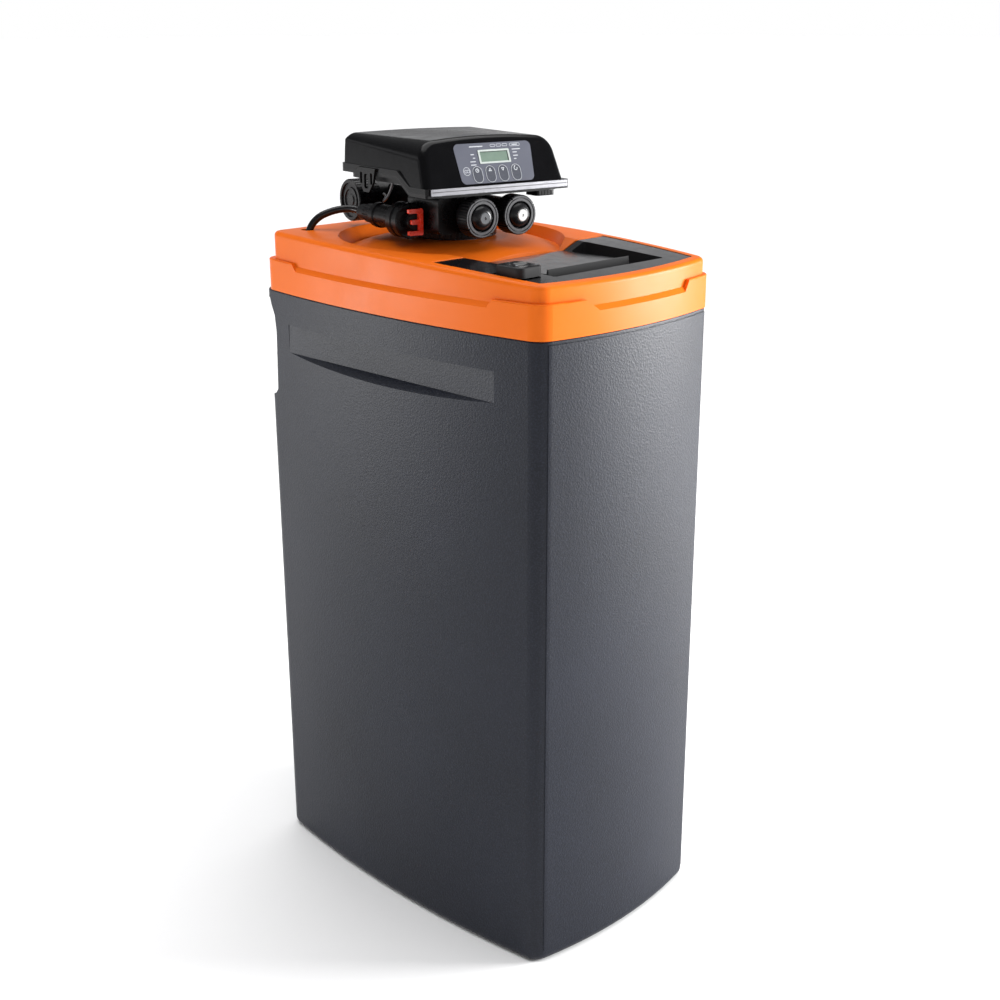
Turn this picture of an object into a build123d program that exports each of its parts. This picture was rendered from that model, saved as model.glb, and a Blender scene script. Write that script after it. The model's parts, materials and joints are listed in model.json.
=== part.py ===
from build123d import *
import math
import os

os.makedirs("parts", exist_ok=True)

# ---------------------------------------------------------------- dimensions
# millimetres, +Z up, origin on the floor at the middle of the cabinet's plan,
# the hatch end of the cabinet faces -Y

# cabinet plan: virtual corners, bows of the three outer faces
HALF_W = 153.3
HALF_D = 255.2
LOW_REAR = 246.5          # back of the lid's lower band, short of the cabinet's back
UP_REAR = 240.0           # same for the upper band, before its step in
SIDE_BOW = 20.7
FRONT_BOW = 18.7
CORNER_R = 25.0
BODY_SET = 1.2            # body stands this far inside the lid's outline
SEAM_Z = 810.0            # where the lid meets the cabinet
WALL = 4.0
FLOOR = 6.0
FOOT_R = 11.0

# lid
STEP_Z = 851.0            # top of the proud lower band of the lid
STEP_IN = 5.0             # the upper band stands in by this much
DIP_SIDE_Z = 841.0
DIP_FRONT_Z = 837.0
DISH_Y = 45.0
DISH_R = 150.0
DISH_FLOOR = 868.5
DOME_R = 137.0
DOME_TOP = 884.0
HATCH_IN = 19.0           # rim width around the hatch
HATCH_REAR = -79.0
LEDGE_Z = 857.8
HINGE_Y = -85.5
HINGE_Z = 875.5

# pressure vessel, a 10 x 35 inch tank
TANK_Y = 43.0
TANK_R = 127.0
NECK_R = 42.0
NECK_TOP = 886.0
RISER_R = 13.35

# valve: turned a little clockwise on the tank, seen from above
TURN = math.radians(10.0)
PORT_U = 28.3
PORT_Z = 918.5
NUT_R = 24.5
BARREL_V = 133.0
BARREL_Z = 921.5
FIT_U = -86.0
FIT_Z = 912.0

# brine side
WELL = (-112.0, 193.0)
WELL_R = 38.0
DRAW = (-112.0, 206.0)    # where the brine line comes down
ROD = (-112.0, 181.0)     # float rod
HOSE_R = 4.75
CABLE_R = 1.75

# gear train, module 1
IDLER = (31.1, 31.1)
MOTOR = (63.1, 31.1)
Z_MAIN, Z_SMALL, Z_BIG, Z_PINION = 68, 20, 50, 14

CT, ST = math.cos(TURN), math.sin(TURN)
XV = (CT, -ST, 0.0)
YV = (ST, CT, 0.0)


def world(u, v, z=0.0):
    """Valve coordinates (u to the right, v to the rear) to cabinet ones."""
    return (u * CT + v * ST, TANK_Y - u * ST + v * CT, z)


def level(z):
    """Horizontal plane of the valve; sketch x, y are u, v."""
    return Plane(origin=world(0, 0, z), x_dir=XV, z_dir=(0, 0, 1))


def front(v):
    """Upright plane facing the valve's front; sketch x, y are u, z."""
    return Plane(origin=world(0, v), x_dir=XV, z_dir=(-YV[0], -YV[1], 0))


def side(u):
    """Upright plane facing the valve's right; sketch x, y are v, z."""
    return Plane(origin=world(u, 0), x_dir=YV, z_dir=XV)


def axis_v(u, z):
    return Axis(world(u, 0, z), YV)


def axis_u(v, z):
    return Axis(world(0, v, z), XV)


# sloping front face of the hood, 22 degrees back; sketch x is u - 3
FACE_TILT = math.radians(22.1)
FACE_U0 = 3.0


def face_plane(off=0.0):
    n = (-YV[0] * math.cos(FACE_TILT), -YV[1] * math.cos(FACE_TILT), math.sin(FACE_TILT))
    o = world(FACE_U0, -90.9, 982.0)
    return Plane(origin=(o[0] + n[0] * off, o[1] + n[1] * off, o[2] + n[2] * off), x_dir=XV, z_dir=n)


def outline(inset, rear=HALF_D):
    """Plan of the cabinet moved in by inset: bowed front and sides, flat back."""
    side_r = (HALF_D ** 2 + SIDE_BOW ** 2) / (2 * SIDE_BOW)
    front_r = (HALF_W ** 2 + FRONT_BOW ** 2) / (2 * FRONT_BOW)
    cx = HALF_W + SIDE_BOW - side_r          # middle of the right side's arc
    cy = front_r - HALF_D - FRONT_BOW        # middle of the front's arc
    ra, rb = front_r - inset, side_r - inset
    d = math.hypot(cx, cy)
    a = (ra ** 2 - rb ** 2 + d ** 2) / (2 * d)
    h = math.sqrt(ra ** 2 - a ** 2)
    px, py = a * cx / d, cy - a * cy / d
    fx, fy = max((px - h * cy / d, py - h * cx / d), (px + h * cy / d, py + h * cx / d))
    ry = rear - inset
    rx = cx + math.sqrt(rb ** 2 - ry ** 2)
    fx, fy, rx = round(fx, 6), round(fy, 6), round(rx, 6)
    with BuildSketch() as s:
        with BuildLine():
            ThreePointArc((-fx, fy), (0, -HALF_D - FRONT_BOW + inset), (fx, fy))
            ThreePointArc((fx, fy), (HALF_W + SIDE_BOW - inset, 0), (rx, ry))
            Line((rx, ry), (-rx, ry))
            ThreePointArc((-rx, ry), (-HALF_W - SIDE_BOW + inset, 0), (-fx, fy))
        make_face()
        fillet(s.vertices(), max(CORNER_R - inset, 1.5))
    return s.sketch


OUT = {t: outline(t) for t in (0, BODY_SET, BODY_SET + WALL, STEP_IN, 6.2, 19, 19.8, 27)}
LOW = {t: outline(t, LOW_REAR) for t in (0, 4.6, 6.2, 10.2)}
UPP = {t: outline(t, UP_REAR) for t in (STEP_IN, 9)}


def crown(drop=0.0):
    """Everything above the lid's crowned top, as a side profile."""
    with BuildSketch(Plane.YZ.offset(-250)) as s:
        with BuildLine():
            c = ThreePointArc((-276, 869.4 - drop), (-20, 882 - drop), (266, 886.5 - drop))
            Polyline((266, 886.5 - drop), (266, 960), (-276, 960), (-276, 869.4 - drop))
        make_face()
    return s.sketch


def gear(teeth, module, hole, phase_deg, slack=0.2):
    """Involute spur gear outline."""
    rp = teeth * module / 2
    rb = rp * math.cos(math.radians(20))
    ra = rp + 0.9 * module
    rf = rp - 1.2 * module
    inv20 = math.tan(math.radians(20)) - math.radians(20)
    half = math.pi / (2 * teeth) - slack / (2 * rp)

    def th(r):
        if r <= rb:
            return half + inv20
        a = math.acos(rb / r)
        return half + inv20 - (math.tan(a) - a)

    pts = []
    for k in range(teeth):
        c = math.radians(phase_deg) + 2 * math.pi * k / teeth
        radii = [rf, max(rb, rf + 0.05), rp, ra]
        for r in radii:
            pts.append((r * math.cos(c - th(r)), r * math.sin(c - th(r))))
        for r in reversed(radii):
            pts.append((r * math.cos(c + th(r)), r * math.sin(c + th(r))))
    with BuildSketch() as s:
        Polygon(*pts, align=None)
        if hole:
            Circle(hole, mode=Mode.SUBTRACT)
    return s.sketch


def finish(p, label):
    p.part.label = label
    export_step(p.part, "parts/" + label + ".step")


# ================================================================== cabinet
# blow-moulded brine cabinet: bowed shell, flat recess near the top of each
# side, shallow recess across the back, proud panel on the front
CORNERS = [Plane(origin=(-sg * 48.2, 48.0, 0), x_dir=(sg * 0.7052, 0.709, 0), z_dir=(0.709, -sg * 0.7052, 0)) for sg in (-1, 1)]

with BuildPart() as inside:
    with BuildSketch(Plane.XY.offset(FLOOR)):
        add(OUT[BODY_SET + WALL])
    extrude(amount=SEAM_Z - 4 - FLOOR)
    # the wall follows the recesses inward
    with BuildSketch(Plane.XZ.offset(-200)):
        with Locations((-166.8, 745), (166.8, 745)):
            Rectangle(20, 62)
    extrude(amount=400, mode=Mode.SUBTRACT)
    with BuildSketch(Plane.YZ.offset(-220)):
        Polygon((242.5, 646), (242.5, 795), (262, 795), (262, 646), align=None)
    extrude(amount=440, mode=Mode.SUBTRACT)
    for pl in CORNERS:
        with BuildSketch(pl):
            Polygon((267.2, 790), (265.2, 753), (267.4, 672), (274, 660), (300, 660), (300, 801), (273, 801), align=None)
        extrude(amount=45, both=True, mode=Mode.SUBTRACT)
    with BuildSketch(Plane.XY.offset(SEAM_Z - 8)):
        add(LOW[10.2])
    extrude(amount=40)

with BuildPart() as cabinet_body:
    with BuildSketch():
        add(OUT[BODY_SET])
    extrude(amount=SEAM_Z)
    fillet(cabinet_body.faces().sort_by(Axis.Z)[0].edges(), FOOT_R)
    fillet(cabinet_body.faces().sort_by(Axis.Z)[-1].edges(), 2.5)
    # proud front panel with crisp side edges
    with BuildSketch(Plane.XY.offset(18)) as front_panel:
        add(OUT[0])
        with Locations((0, 60)):
            Rectangle(500, 590, mode=Mode.SUBTRACT)
        with Locations((-241, -250), (241, -250)):
            Rectangle(200, 100, mode=Mode.SUBTRACT)
    extrude(amount=SEAM_Z - 5 - 18)
    # lip that the lid drops over
    with BuildSketch(Plane.XY.offset(SEAM_Z)):
        add(LOW[6.2])
    extrude(amount=16)
    # side recesses: upright flat with a sloping sill
    with BuildSketch(Plane.XZ.offset(-191)):
        Polygon((-160.6, 768.5), (-161.2, 731.5), (-176, 720), (-190, 720), (-190, 768.5), align=None)
        Polygon((160.6, 768.5), (161.2, 731.5), (176, 720), (190, 720), (190, 768.5), align=None)
    extrude(amount=382, mode=Mode.SUBTRACT)
    # back recess
    with BuildSketch(Plane.YZ.offset(-220)):
        Polygon((248, 662), (248, 782), (256, 788), (262, 788), (262, 656), (254.5, 656), align=None)
    extrude(amount=440, mode=Mode.SUBTRACT)
    # the recess runs out round the two rear corners
    for pl in CORNERS:
        with BuildSketch(pl):
            Polygon((271.2, 776), (269.4, 753), (271.6, 675), (277.8, 664), (300, 664), (300, 798), (277.8, 798), (275, 787), align=None)
        extrude(amount=45, both=True, mode=Mode.SUBTRACT)
    add(inside.part, mode=Mode.SUBTRACT)
    # overflow hole
    with BuildSketch(Plane.XZ.offset(-240)):
        with Locations((110, 610)):
            Circle(9.0)
    extrude(amount=-30, mode=Mode.SUBTRACT)
finish(cabinet_body, "cabinet_body")

# ---------------------------------------------------------------- lid cover
def dip(low_z, windows):
    """Band to take off the lid's lower step, with a ledge that slopes outward."""
    with BuildPart() as d:
        with BuildSketch(Plane.XY.offset(low_z - 4)):
            add(OUT[0])
            offset(amount=3)
        extrude(amount=STEP_Z + 0.5 - low_z + 4)
        with BuildPart(mode=Mode.PRIVATE) as kept:
            with BuildSketch(Plane.XY.offset(low_z - 5)):
                add(OUT[0])
            extrude(amount=5)
            with BuildSketch(Plane.XY.offset(low_z)):
                add(OUT[0])
            extrude(amount=6, taper=math.degrees(math.atan2(STEP_IN, 6)))
            with BuildSketch(Plane.XY.offset(low_z + 6)):
                add(OUT[STEP_IN])
            extrude(amount=30)
        add(kept.part, mode=Mode.SUBTRACT)
        add(windows, mode=Mode.INTERSECT)
    return d.part


with BuildPart() as side_windows:
    with BuildSketch(Plane.YZ.offset(-200)):
        Polygon((-190, 852), (-181, DIP_SIDE_Z), (166, DIP_SIDE_Z), (176, 852), align=None)
    extrude(amount=400)
with BuildPart() as front_window:
    with BuildSketch(Plane.XZ.offset(190)):
        Polygon((-92, 852), (-70, DIP_FRONT_Z), (88, DIP_FRONT_Z), (98, 852), align=None)
    extrude(amount=100)

with BuildPart() as lid_cover:
    with BuildSketch(Plane.XY.offset(SEAM_Z)):
        add(LOW[0])
    extrude(amount=STEP_Z - SEAM_Z)
    fillet(lid_cover.faces().sort_by(Axis.Z)[-1].edges(), 1.5)
    add(dip(DIP_SIDE_Z, side_windows.part), mode=Mode.SUBTRACT)
    add(dip(DIP_FRONT_Z, front_window.part), mode=Mode.SUBTRACT)
    with BuildSketch(Plane.XY.offset(SEAM_Z)):
        add(UPP[STEP_IN])
    extrude(amount=96)
    add(extrude(crown(), amount=500, mode=Mode.PRIVATE), mode=Mode.SUBTRACT)
    fillet(lid_cover.faces().sort_by(Axis.Z)[-1].edges(), 5.5)
    # round dish with sloping outer wall
    with BuildSketch(Plane.XZ.offset(-DISH_Y)):
        Polygon((0, DISH_FLOOR), (DISH_R - 12, DISH_FLOOR), (DISH_R, 889), (DISH_R, 910), (0, 910), align=None)
    revolve(axis=Axis((0, DISH_Y, 0), (0, 0, 1)), mode=Mode.SUBTRACT)
    # channel from the dish to the hatch
    with BuildSketch(Plane.XZ.offset(55)):
        Polygon((-75, DISH_FLOOR), (75, DISH_FLOOR), (107, 882), (107, 910), (-107, 910), (-107, 882), align=None)
    extrude(amount=60, mode=Mode.SUBTRACT)
    # dome that carries the valve collar
    with BuildSketch(Plane.XZ.offset(-DISH_Y)):
        with BuildLine():
            Polyline((DOME_R, DISH_FLOOR), (DOME_R, 856), (0, 856), (0, DOME_TOP), (72, DOME_TOP))
            ThreePointArc((72, DOME_TOP), (107, 878.6), (DOME_R, DISH_FLOOR))
        make_face()
    revolve(axis=Axis((0, DISH_Y, 0), (0, 0, 1)))
    # hollow underside
    with BuildSketch(Plane.XY.offset(SEAM_Z)):
        add(LOW[4.6])
    extrude(amount=18.5, mode=Mode.SUBTRACT)
    with BuildSketch(Plane.XY.offset(SEAM_Z + 18.5)):
        add(UPP[9])
    extrude(amount=25.5, mode=Mode.SUBTRACT)
    with BuildSketch(Plane.XY.offset(SEAM_Z + 44)) as rear_room:
        add(UPP[9])
        with Locations((0, -275)):
            Rectangle(500, 400, mode=Mode.SUBTRACT)
    extrude(amount=10.5, mode=Mode.SUBTRACT)
    with BuildSketch(Plane.XY.offset(864)) as corner_room:
        add(UPP[9])
        with Locations((0, DISH_Y)):
            Circle(155, mode=Mode.SUBTRACT)
        with Locations((0, -200)):
            Rectangle(500, 600, mode=Mode.SUBTRACT)
    extrude(amount=17, mode=Mode.SUBTRACT)
    with BuildSketch(Plane.XZ.offset(-DISH_Y)):
        Polygon((0, 860), (125, 860), (118, 868), (70, 880), (0, 880), align=None)
    revolve(axis=Axis((0, DISH_Y, 0), (0, 0, 1)), mode=Mode.SUBTRACT)
    # hatch pocket, its ledge and the salt opening
    with BuildSketch(Plane.XY.offset(LEDGE_Z)) as pocket:
        add(OUT[HATCH_IN])
        with Locations((0, HATCH_REAR + 200)):
            Rectangle(500, 400, mode=Mode.SUBTRACT)
    extrude(amount=50, mode=Mode.SUBTRACT)
    with BuildSketch(Plane.XY.offset(840)) as salt_mouth:
        add(OUT[27])
        with Locations((0, HATCH_REAR + 200)):
            Rectangle(500, 400, mode=Mode.SUBTRACT)
    extrude(amount=30, mode=Mode.SUBTRACT)
    # keeper window for the latch tongue
    with BuildSketch(Plane.XY.offset(861)):
        with Locations((-122, -246)):
            Rectangle(18, 12)
    extrude(amount=6, mode=Mode.SUBTRACT)
    # holes: tank neck, brine line, hinge pins
    with BuildSketch(Plane.XY.offset(850)):
        with Locations((0, TANK_Y)):
            Circle(48)
        with Locations(DRAW):
            Circle(8.4)
    extrude(amount=60, mode=Mode.SUBTRACT)
    with BuildSketch(Plane.YZ.offset(-158)):
        with Locations((HINGE_Y, HINGE_Z)):
            Circle(1.6)
    extrude(amount=316, mode=Mode.SUBTRACT)
finish(lid_cover, "lid_cover")

# --------------------------------------------------------------- salt hatch
with BuildPart() as salt_hatch:
    with BuildSketch(Plane.XY.offset(LEDGE_Z + 0.4)):
        add(OUT[19.8])
    extrude(amount=60)
    split(bisect_by=Plane.XZ.offset(81.5), keep=Keep.TOP)
    with BuildSketch(Plane.XY.offset(LEDGE_Z)):
        with Locations((-161, -170), (161, -170)):
            Rectangle(20.4, 220)
    extrude(amount=60, mode=Mode.SUBTRACT)
    with BuildSketch(Plane.XY.offset(LEDGE_Z)):
        with Locations((0, -83)):
            Rectangle(400, 12)
    extrude(amount=1, mode=Mode.SUBTRACT)
    add(extrude(crown(0.6), amount=500, mode=Mode.PRIVATE), mode=Mode.SUBTRACT)
    # low middle: the tongue between two sloping shoulders
    with BuildSketch(Plane.XZ.offset(60)):
        Polygon((-75, 869), (75, 869), (106.5, 881), (106.5, 900), (-106.5, 900), (-106.5, 881), align=None)
    extrude(amount=130, mode=Mode.SUBTRACT)
    # finger trough round three sides of the tongue
    with BuildSketch(Plane.XY.offset(862.5)) as trough:
        Polygon((-94, -94), (-94, -222), (100, -222), (100, -94), (75, -94), (75, -192), (-75, -192), (-75, -94), align=None)
        fillet(trough.vertices(), 4)
    extrude(amount=30, taper=-6, mode=Mode.SUBTRACT)
    # flat bed for the latch
    with BuildSketch(Plane.XY.offset(873.5)):
        with Locations((-122, -196)):
            RectangleRounded(42, 57, 6)
    extrude(amount=20, mode=Mode.SUBTRACT)
    # hollows under the shoulders, the front strip and the tongue
    with BuildSketch(Plane.XY.offset(LEDGE_Z)) as hollows:
        with Locations((-126, -165)):
            Rectangle(42, 146)
        with Locations((126, -165)):
            Rectangle(42, 146)
        with Locations((0, -132)):
            Rectangle(136, 88)
    extrude(amount=7.8, mode=Mode.SUBTRACT)
    with BuildSketch(Plane.XY.offset(LEDGE_Z + 7)) as shoulder_hollows:
        with Locations((-126, -165)):
            Rectangle(42, 146)
        with Locations((126, -165)):
            Rectangle(42, 146)
    extrude(amount=6.2, mode=Mode.SUBTRACT)
    # latch slot and the tongue's way out
    with BuildSketch(Plane.XY.offset(866)):
        with Locations((-122, -200)):
            Rectangle(15, 28)
    extrude(amount=20, mode=Mode.SUBTRACT)
    with BuildSketch(Plane.XY.offset(861.6)):
        with Locations((-122, -240)):
            Rectangle(16, 14)
    extrude(amount=5, mode=Mode.SUBTRACT)
    # hinge bores
    for x0 in (-160, 139.5):
        with BuildSketch(Plane.YZ.offset(x0)):
            with Locations((HINGE_Y, HINGE_Z)):
                Circle(1.66)
        extrude(amount=20.5, mode=Mode.SUBTRACT)
finish(salt_hatch, "salt_hatch")

with BuildPart() as hatch_hinge_pins:
    for x0 in (-158, 140):
        with BuildSketch(Plane.YZ.offset(x0)):
            with Locations((HINGE_Y, HINGE_Z)):
                Circle(1.6)
        extrude(amount=18)
finish(hatch_hinge_pins, "hatch_hinge_pins")

# sliding latch: thumb pad on top, stem through the hatch, tongue below
with BuildPart() as hatch_latch:
    with BuildSketch(Plane.XY.offset(873.8)) as pad:
        with Locations((-122, -192)):
            RectangleRounded(39, 43, 9)
    extrude(amount=12.5)
    fillet(hatch_latch.faces().sort_by(Axis.Z)[-1].edges(), 3)
    # concave thumb rest
    with Locations((-122, -194, 873.8 + 12.5 + 19.5)):
        Sphere(23, mode=Mode.SUBTRACT)
    with BuildSketch(Plane.XY.offset(862)):
        with Locations((-122, -197)):
            Rectangle(14, 16)
    extrude(amount=12)
    with BuildSketch(Plane.XY.offset(862)):
        with Locations((-122, -214)):
            Rectangle(14, 50)
    extrude(amount=4)
finish(hatch_latch, "hatch_latch")

# ========================================================== pressure vessel
AX_TANK = Axis((0, TANK_Y, 0), (0, 0, 1))
TANK_PLANE = Plane.XZ.offset(-TANK_Y)

with BuildPart() as vessel_outer:
    with BuildSketch(TANK_PLANE):
        with BuildLine():
            ThreePointArc((0, 16), (90, 35), (TANK_R, 82))
            Line((TANK_R, 82), (TANK_R, 798))
            ThreePointArc((TANK_R, 798), (96, 845), (NECK_R, 864))
            Polyline((NECK_R, 864), (NECK_R, NECK_TOP), (0, NECK_TOP), (0, 16))
        make_face()
    revolve(axis=AX_TANK)

with BuildPart() as vessel_room:
    with BuildSketch(TANK_PLANE):
        with BuildLine():
            ThreePointArc((0, 22), (86, 40), (TANK_R - 5.5, 83))
            Line((TANK_R - 5.5, 83), (TANK_R - 5.5, 797))
            ThreePointArc((TANK_R - 5.5, 797), (91, 840), (33.4, 858))
            Polyline((33.4, 858), (33.4, NECK_TOP + 5), (0, NECK_TOP + 5), (0, 22))
        make_face()
    revolve(axis=AX_TANK)

with BuildPart() as pressure_vessel:
    add(vessel_outer.part)
    add(vessel_room.part, mode=Mode.SUBTRACT)
finish(pressure_vessel, "pressure_vessel")

with BuildPart() as vessel_base:
    with BuildSketch(TANK_PLANE):
        Polygon((98, FLOOR), (133, FLOOR), (133, 12), (131, 16), (131, 88), (98, 88), align=None)
    revolve(axis=AX_TANK)
    add(vessel_outer.part, mode=Mode.SUBTRACT)
finish(vessel_base, "vessel_base")

with BuildPart() as riser_tube:
    with BuildSketch(Plane.XY.offset(46)):
        with Locations((0, TANK_Y)):
            Circle(RISER_R)
            Circle(RISER_R - 1.9, mode=Mode.SUBTRACT)
    extrude(amount=904 - 46)
finish(riser_tube, "riser_tube")

with BuildPart() as bottom_distributor:
    with BuildSketch(TANK_PLANE):
        Polygon((0, 26), (22, 26), (29, 33), (29, 60), (19, 68), (RISER_R, 68), (RISER_R, 46), (0, 46), align=None)
    revolve(axis=AX_TANK)
    with BuildSketch(Plane.XY.offset(34)):
        with Locations((0, TANK_Y)):
            with PolarLocations(28.5, 28):
                Rectangle(4, 1.2)
    extrude(amount=24, mode=Mode.SUBTRACT)
finish(bottom_distributor, "bottom_distributor")

with BuildPart() as top_distributor:
    with BuildSketch(TANK_PLANE):
        Polygon((RISER_R + 0.1, 838), (22, 838), (27.6, 846), (27.6, 876), (24, 876), (24, 848), (20, 842), (RISER_R + 0.1, 842), align=None)
    revolve(axis=AX_TANK)
    with BuildSketch(Plane.XY.offset(848)):
        with Locations((0, TANK_Y)):
            with PolarLocations(26, 24):
                Rectangle(6, 1.2)
    extrude(amount=12, mode=Mode.SUBTRACT)
finish(top_distributor, "top_distributor")

with BuildPart() as resin_bed:
    add(vessel_room.part)
    with BuildSketch(Plane.XY.offset(610)):
        Rectangle(400, 500)
    extrude(amount=400, mode=Mode.SUBTRACT)
    with BuildSketch(Plane.XY.offset(20)):
        with Locations((0, TANK_Y)):
            Circle(29.2)
    extrude(amount=52, mode=Mode.SUBTRACT)
    with BuildSketch(Plane.XY.offset(60)):
        with Locations((0, TANK_Y)):
            Circle(RISER_R)
    extrude(amount=600, mode=Mode.SUBTRACT)
finish(resin_bed, "resin_bed")

# =============================================================== brine side
with BuildPart() as brine_well:
    with BuildSketch(Plane.XY.offset(FLOOR)):
        with Locations(WELL):
            Circle(WELL_R)
            Circle(WELL_R - 2.5, mode=Mode.SUBTRACT)
    extrude(amount=790 - FLOOR)
    with BuildSketch(Plane.XY.offset(20)):
        with Locations(WELL):
            with PolarLocations(WELL_R - 1, 8):
                Rectangle(8, 3)
    extrude(amount=50, mode=Mode.SUBTRACT)
finish(brine_well, "brine_well")

with BuildPart() as brine_well_cap:
    with BuildSketch(Plane.XY.offset(778)):
        with Locations(WELL):
            Circle(WELL_R + 2.5)
            Circle(WELL_R, mode=Mode.SUBTRACT)
    extrude(amount=12)
    with BuildSketch(Plane.XY.offset(790)):
        with Locations(WELL):
            Circle(WELL_R + 2.5)
        with Locations(DRAW):
            Circle(5.6, mode=Mode.SUBTRACT)
    extrude(amount=3.5)
finish(brine_well_cap, "brine_well_cap")

with BuildPart() as safety_valve:
    with BuildSketch(Plane.XY.offset(600)):
        with Locations(DRAW):
            Circle(11)
    extrude(amount=56)
    with BuildSketch(Plane.XY.offset(604)):
        with Locations((ROD[0], WELL[1] - 4)):
            SlotOverall(30, 13, rotation=90)
    extrude(amount=10)
    with BuildSketch(Plane.XY.offset(642)):
        with Locations(DRAW):
            Circle(HOSE_R + 0.1)
    extrude(amount=20, mode=Mode.SUBTRACT)
    with BuildSketch(Plane.XY.offset(600)):
        with Locations(ROD):
            Circle(2.57)
    extrude(amount=20, mode=Mode.SUBTRACT)
    with BuildSketch(Plane.XY.offset(600)):
        with Locations(DRAW):
            Circle(6.0)
    extrude(amount=12, mode=Mode.SUBTRACT)
finish(safety_valve, "safety_valve")

with BuildPart() as pickup_tube:
    with BuildSketch(Plane.XY.offset(70)):
        with Locations(DRAW):
            Circle(6.0)
            Circle(4.4, mode=Mode.SUBTRACT)
    extrude(amount=612 - 70)
    with BuildSketch(Plane.XY.offset(26)):
        with Locations(DRAW):
            Circle(10)
    extrude(amount=50)
    with BuildSketch(Plane.XY.offset(30)):
        with Locations(DRAW):
            with PolarLocations(10, 12):
                Rectangle(4, 1.4)
    extrude(amount=36, mode=Mode.SUBTRACT)
finish(pickup_tube, "pickup_tube")

with BuildPart() as float_rod:
    with BuildSketch(Plane.XY.offset(404)):
        with Locations(ROD):
            Circle(2.5)
    extrude(amount=640 - 404)
    with BuildSketch(Plane.XY.offset(614.2)):
        with Locations(ROD):
            Circle(5)
    extrude(amount=6)
    with BuildSketch(Plane.XY.offset(570)):
        with Locations(ROD):
            Circle(5)
    extrude(amount=5)
    with BuildSketch(Plane.XY.offset(404)):
        with Locations(ROD):
            Circle(5)
    extrude(amount=6)
finish(float_rod, "float_rod")

with BuildPart() as brine_float:
    with BuildSketch(Plane.XY.offset(410)):
        with Locations(ROD):
            Circle(15)
    extrude(amount=70)
    fillet(brine_float.edges().filter_by(GeomType.CIRCLE), 5)
    with BuildSketch(Plane.XY.offset(400)):
        with Locations(ROD):
            Circle(2.5)
    extrude(amount=100, mode=Mode.SUBTRACT)
finish(brine_float, "brine_float")

with BuildPart() as salt_grid:
    with BuildSketch(Plane.XY.offset(96)) as grid_plan:
        add(OUT[6.2])
        with Locations((0, TANK_Y)):
            Circle(135, mode=Mode.SUBTRACT)
        with Locations(WELL):
            Circle(39.5, mode=Mode.SUBTRACT)
        with Locations((0, -172)):
            with GridLocations(24, 24, 11, 6):
                Circle(4.5, mode=Mode.SUBTRACT)
    extrude(amount=5)
    with BuildSketch(Plane.XY.offset(FLOOR)):
        with Locations((-120, -232), (120, -232), (-60, -120), (60, -120), (120, 205), (0, 228)):
            Circle(8)
    extrude(amount=90)
finish(salt_grid, "salt_grid")

# overflow: bulkhead nut inside, elbow outside the back
with BuildPart() as overflow_nut:
    with BuildSketch(Plane.XZ.offset(-250)):
        with Locations((110, 610)):
            RegularPolygon(15, 6)
            Circle(9, mode=Mode.SUBTRACT)
    extrude(amount=8)
finish(overflow_nut, "overflow_nut")

with BuildPart() as overflow_elbow:
    with BuildSketch(Plane.XZ.offset(-240)):
        with Locations((110, 610)):
            Circle(9)
    extrude(amount=-34)
    with BuildSketch(Plane.XZ.offset(-254)):
        with Locations((110, 610)):
            Circle(15)
    extrude(amount=-5)
    with Locations((110, 274, 610)):
        Sphere(9)
    with BuildSketch(Plane.XY.offset(572)):
        with Locations((110, 274)):
            Circle(8)
    extrude(amount=38)
    with BuildSketch(Plane.XY.offset(600)):
        with Locations((110, 274)):
            Circle(10.5)
    extrude(amount=3)
    with BuildSketch(Plane.XY.offset(570)):
        with Locations((110, 274)):
            Circle(6)
    extrude(amount=40, mode=Mode.SUBTRACT)
    with BuildSketch(Plane.XZ.offset(-236)):
        with Locations((110, 610)):
            Circle(6)
    extrude(amount=-38, mode=Mode.SUBTRACT)
finish(overflow_elbow, "overflow_elbow")

# ==================================================================== valve
AX_VALVE = Axis(world(0, 0, 0), (0, 0, 1))

# tray that carries the drive; its parting line steps down towards the front
with BuildPart() as tray_outer:
    with BuildSketch(level(938)):
        RectangleRounded(198, 198, 20)
    extrude(amount=60)
    with BuildPart(mode=Mode.PRIVATE) as tray_side:
        with BuildSketch(side(-120)):
            Polygon((-99, 945), (-62, 945), (-38, 957), (99, 957), (99, 968.5), (-38, 968.5), (-66, 951), (-99, 951), align=None)
        extrude(amount=240)
    add(tray_side.part, mode=Mode.INTERSECT)

# the tray's rim and the hood's flange share one plan: crisp front corners, round rear ones
with BuildSketch(level(938)) as rim_plan:
    Polygon((-107, -103), (107, -103), (107, 107), (-107, 107), align=None)
    fillet(rim_plan.vertices().sort_by(Axis.Y)[-2:], 14)
    fillet(rim_plan.vertices().sort_by(Axis.Y)[:2], 3)

with BuildPart() as tray_rim:
    add(rim_plan.sketch)
    extrude(amount=60)
    with BuildPart(mode=Mode.PRIVATE) as rim_side:
        with BuildSketch(side(-120)):
            Polygon((-103, 946.5), (-65, 946.5), (-37, 964), (107, 964), (107, 968.5), (-38, 968.5), (-66, 951), (-103, 951), align=None)
        extrude(amount=240)
    add(rim_side.part, mode=Mode.INTERSECT)

with BuildPart() as tray_room:
    with BuildSketch(level(938)):
        RectangleRounded(191, 191, 17)
    extrude(amount=60)
    with BuildPart(mode=Mode.PRIVATE) as room_side:
        with BuildSketch(side(-120)):
            Polygon((-97, 948), (-62.7, 948), (-38.7, 960), (97, 960), (97, 990), (-97, 990), align=None)
        extrude(amount=240)
    add(room_side.part, mode=Mode.INTERSECT)

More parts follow.
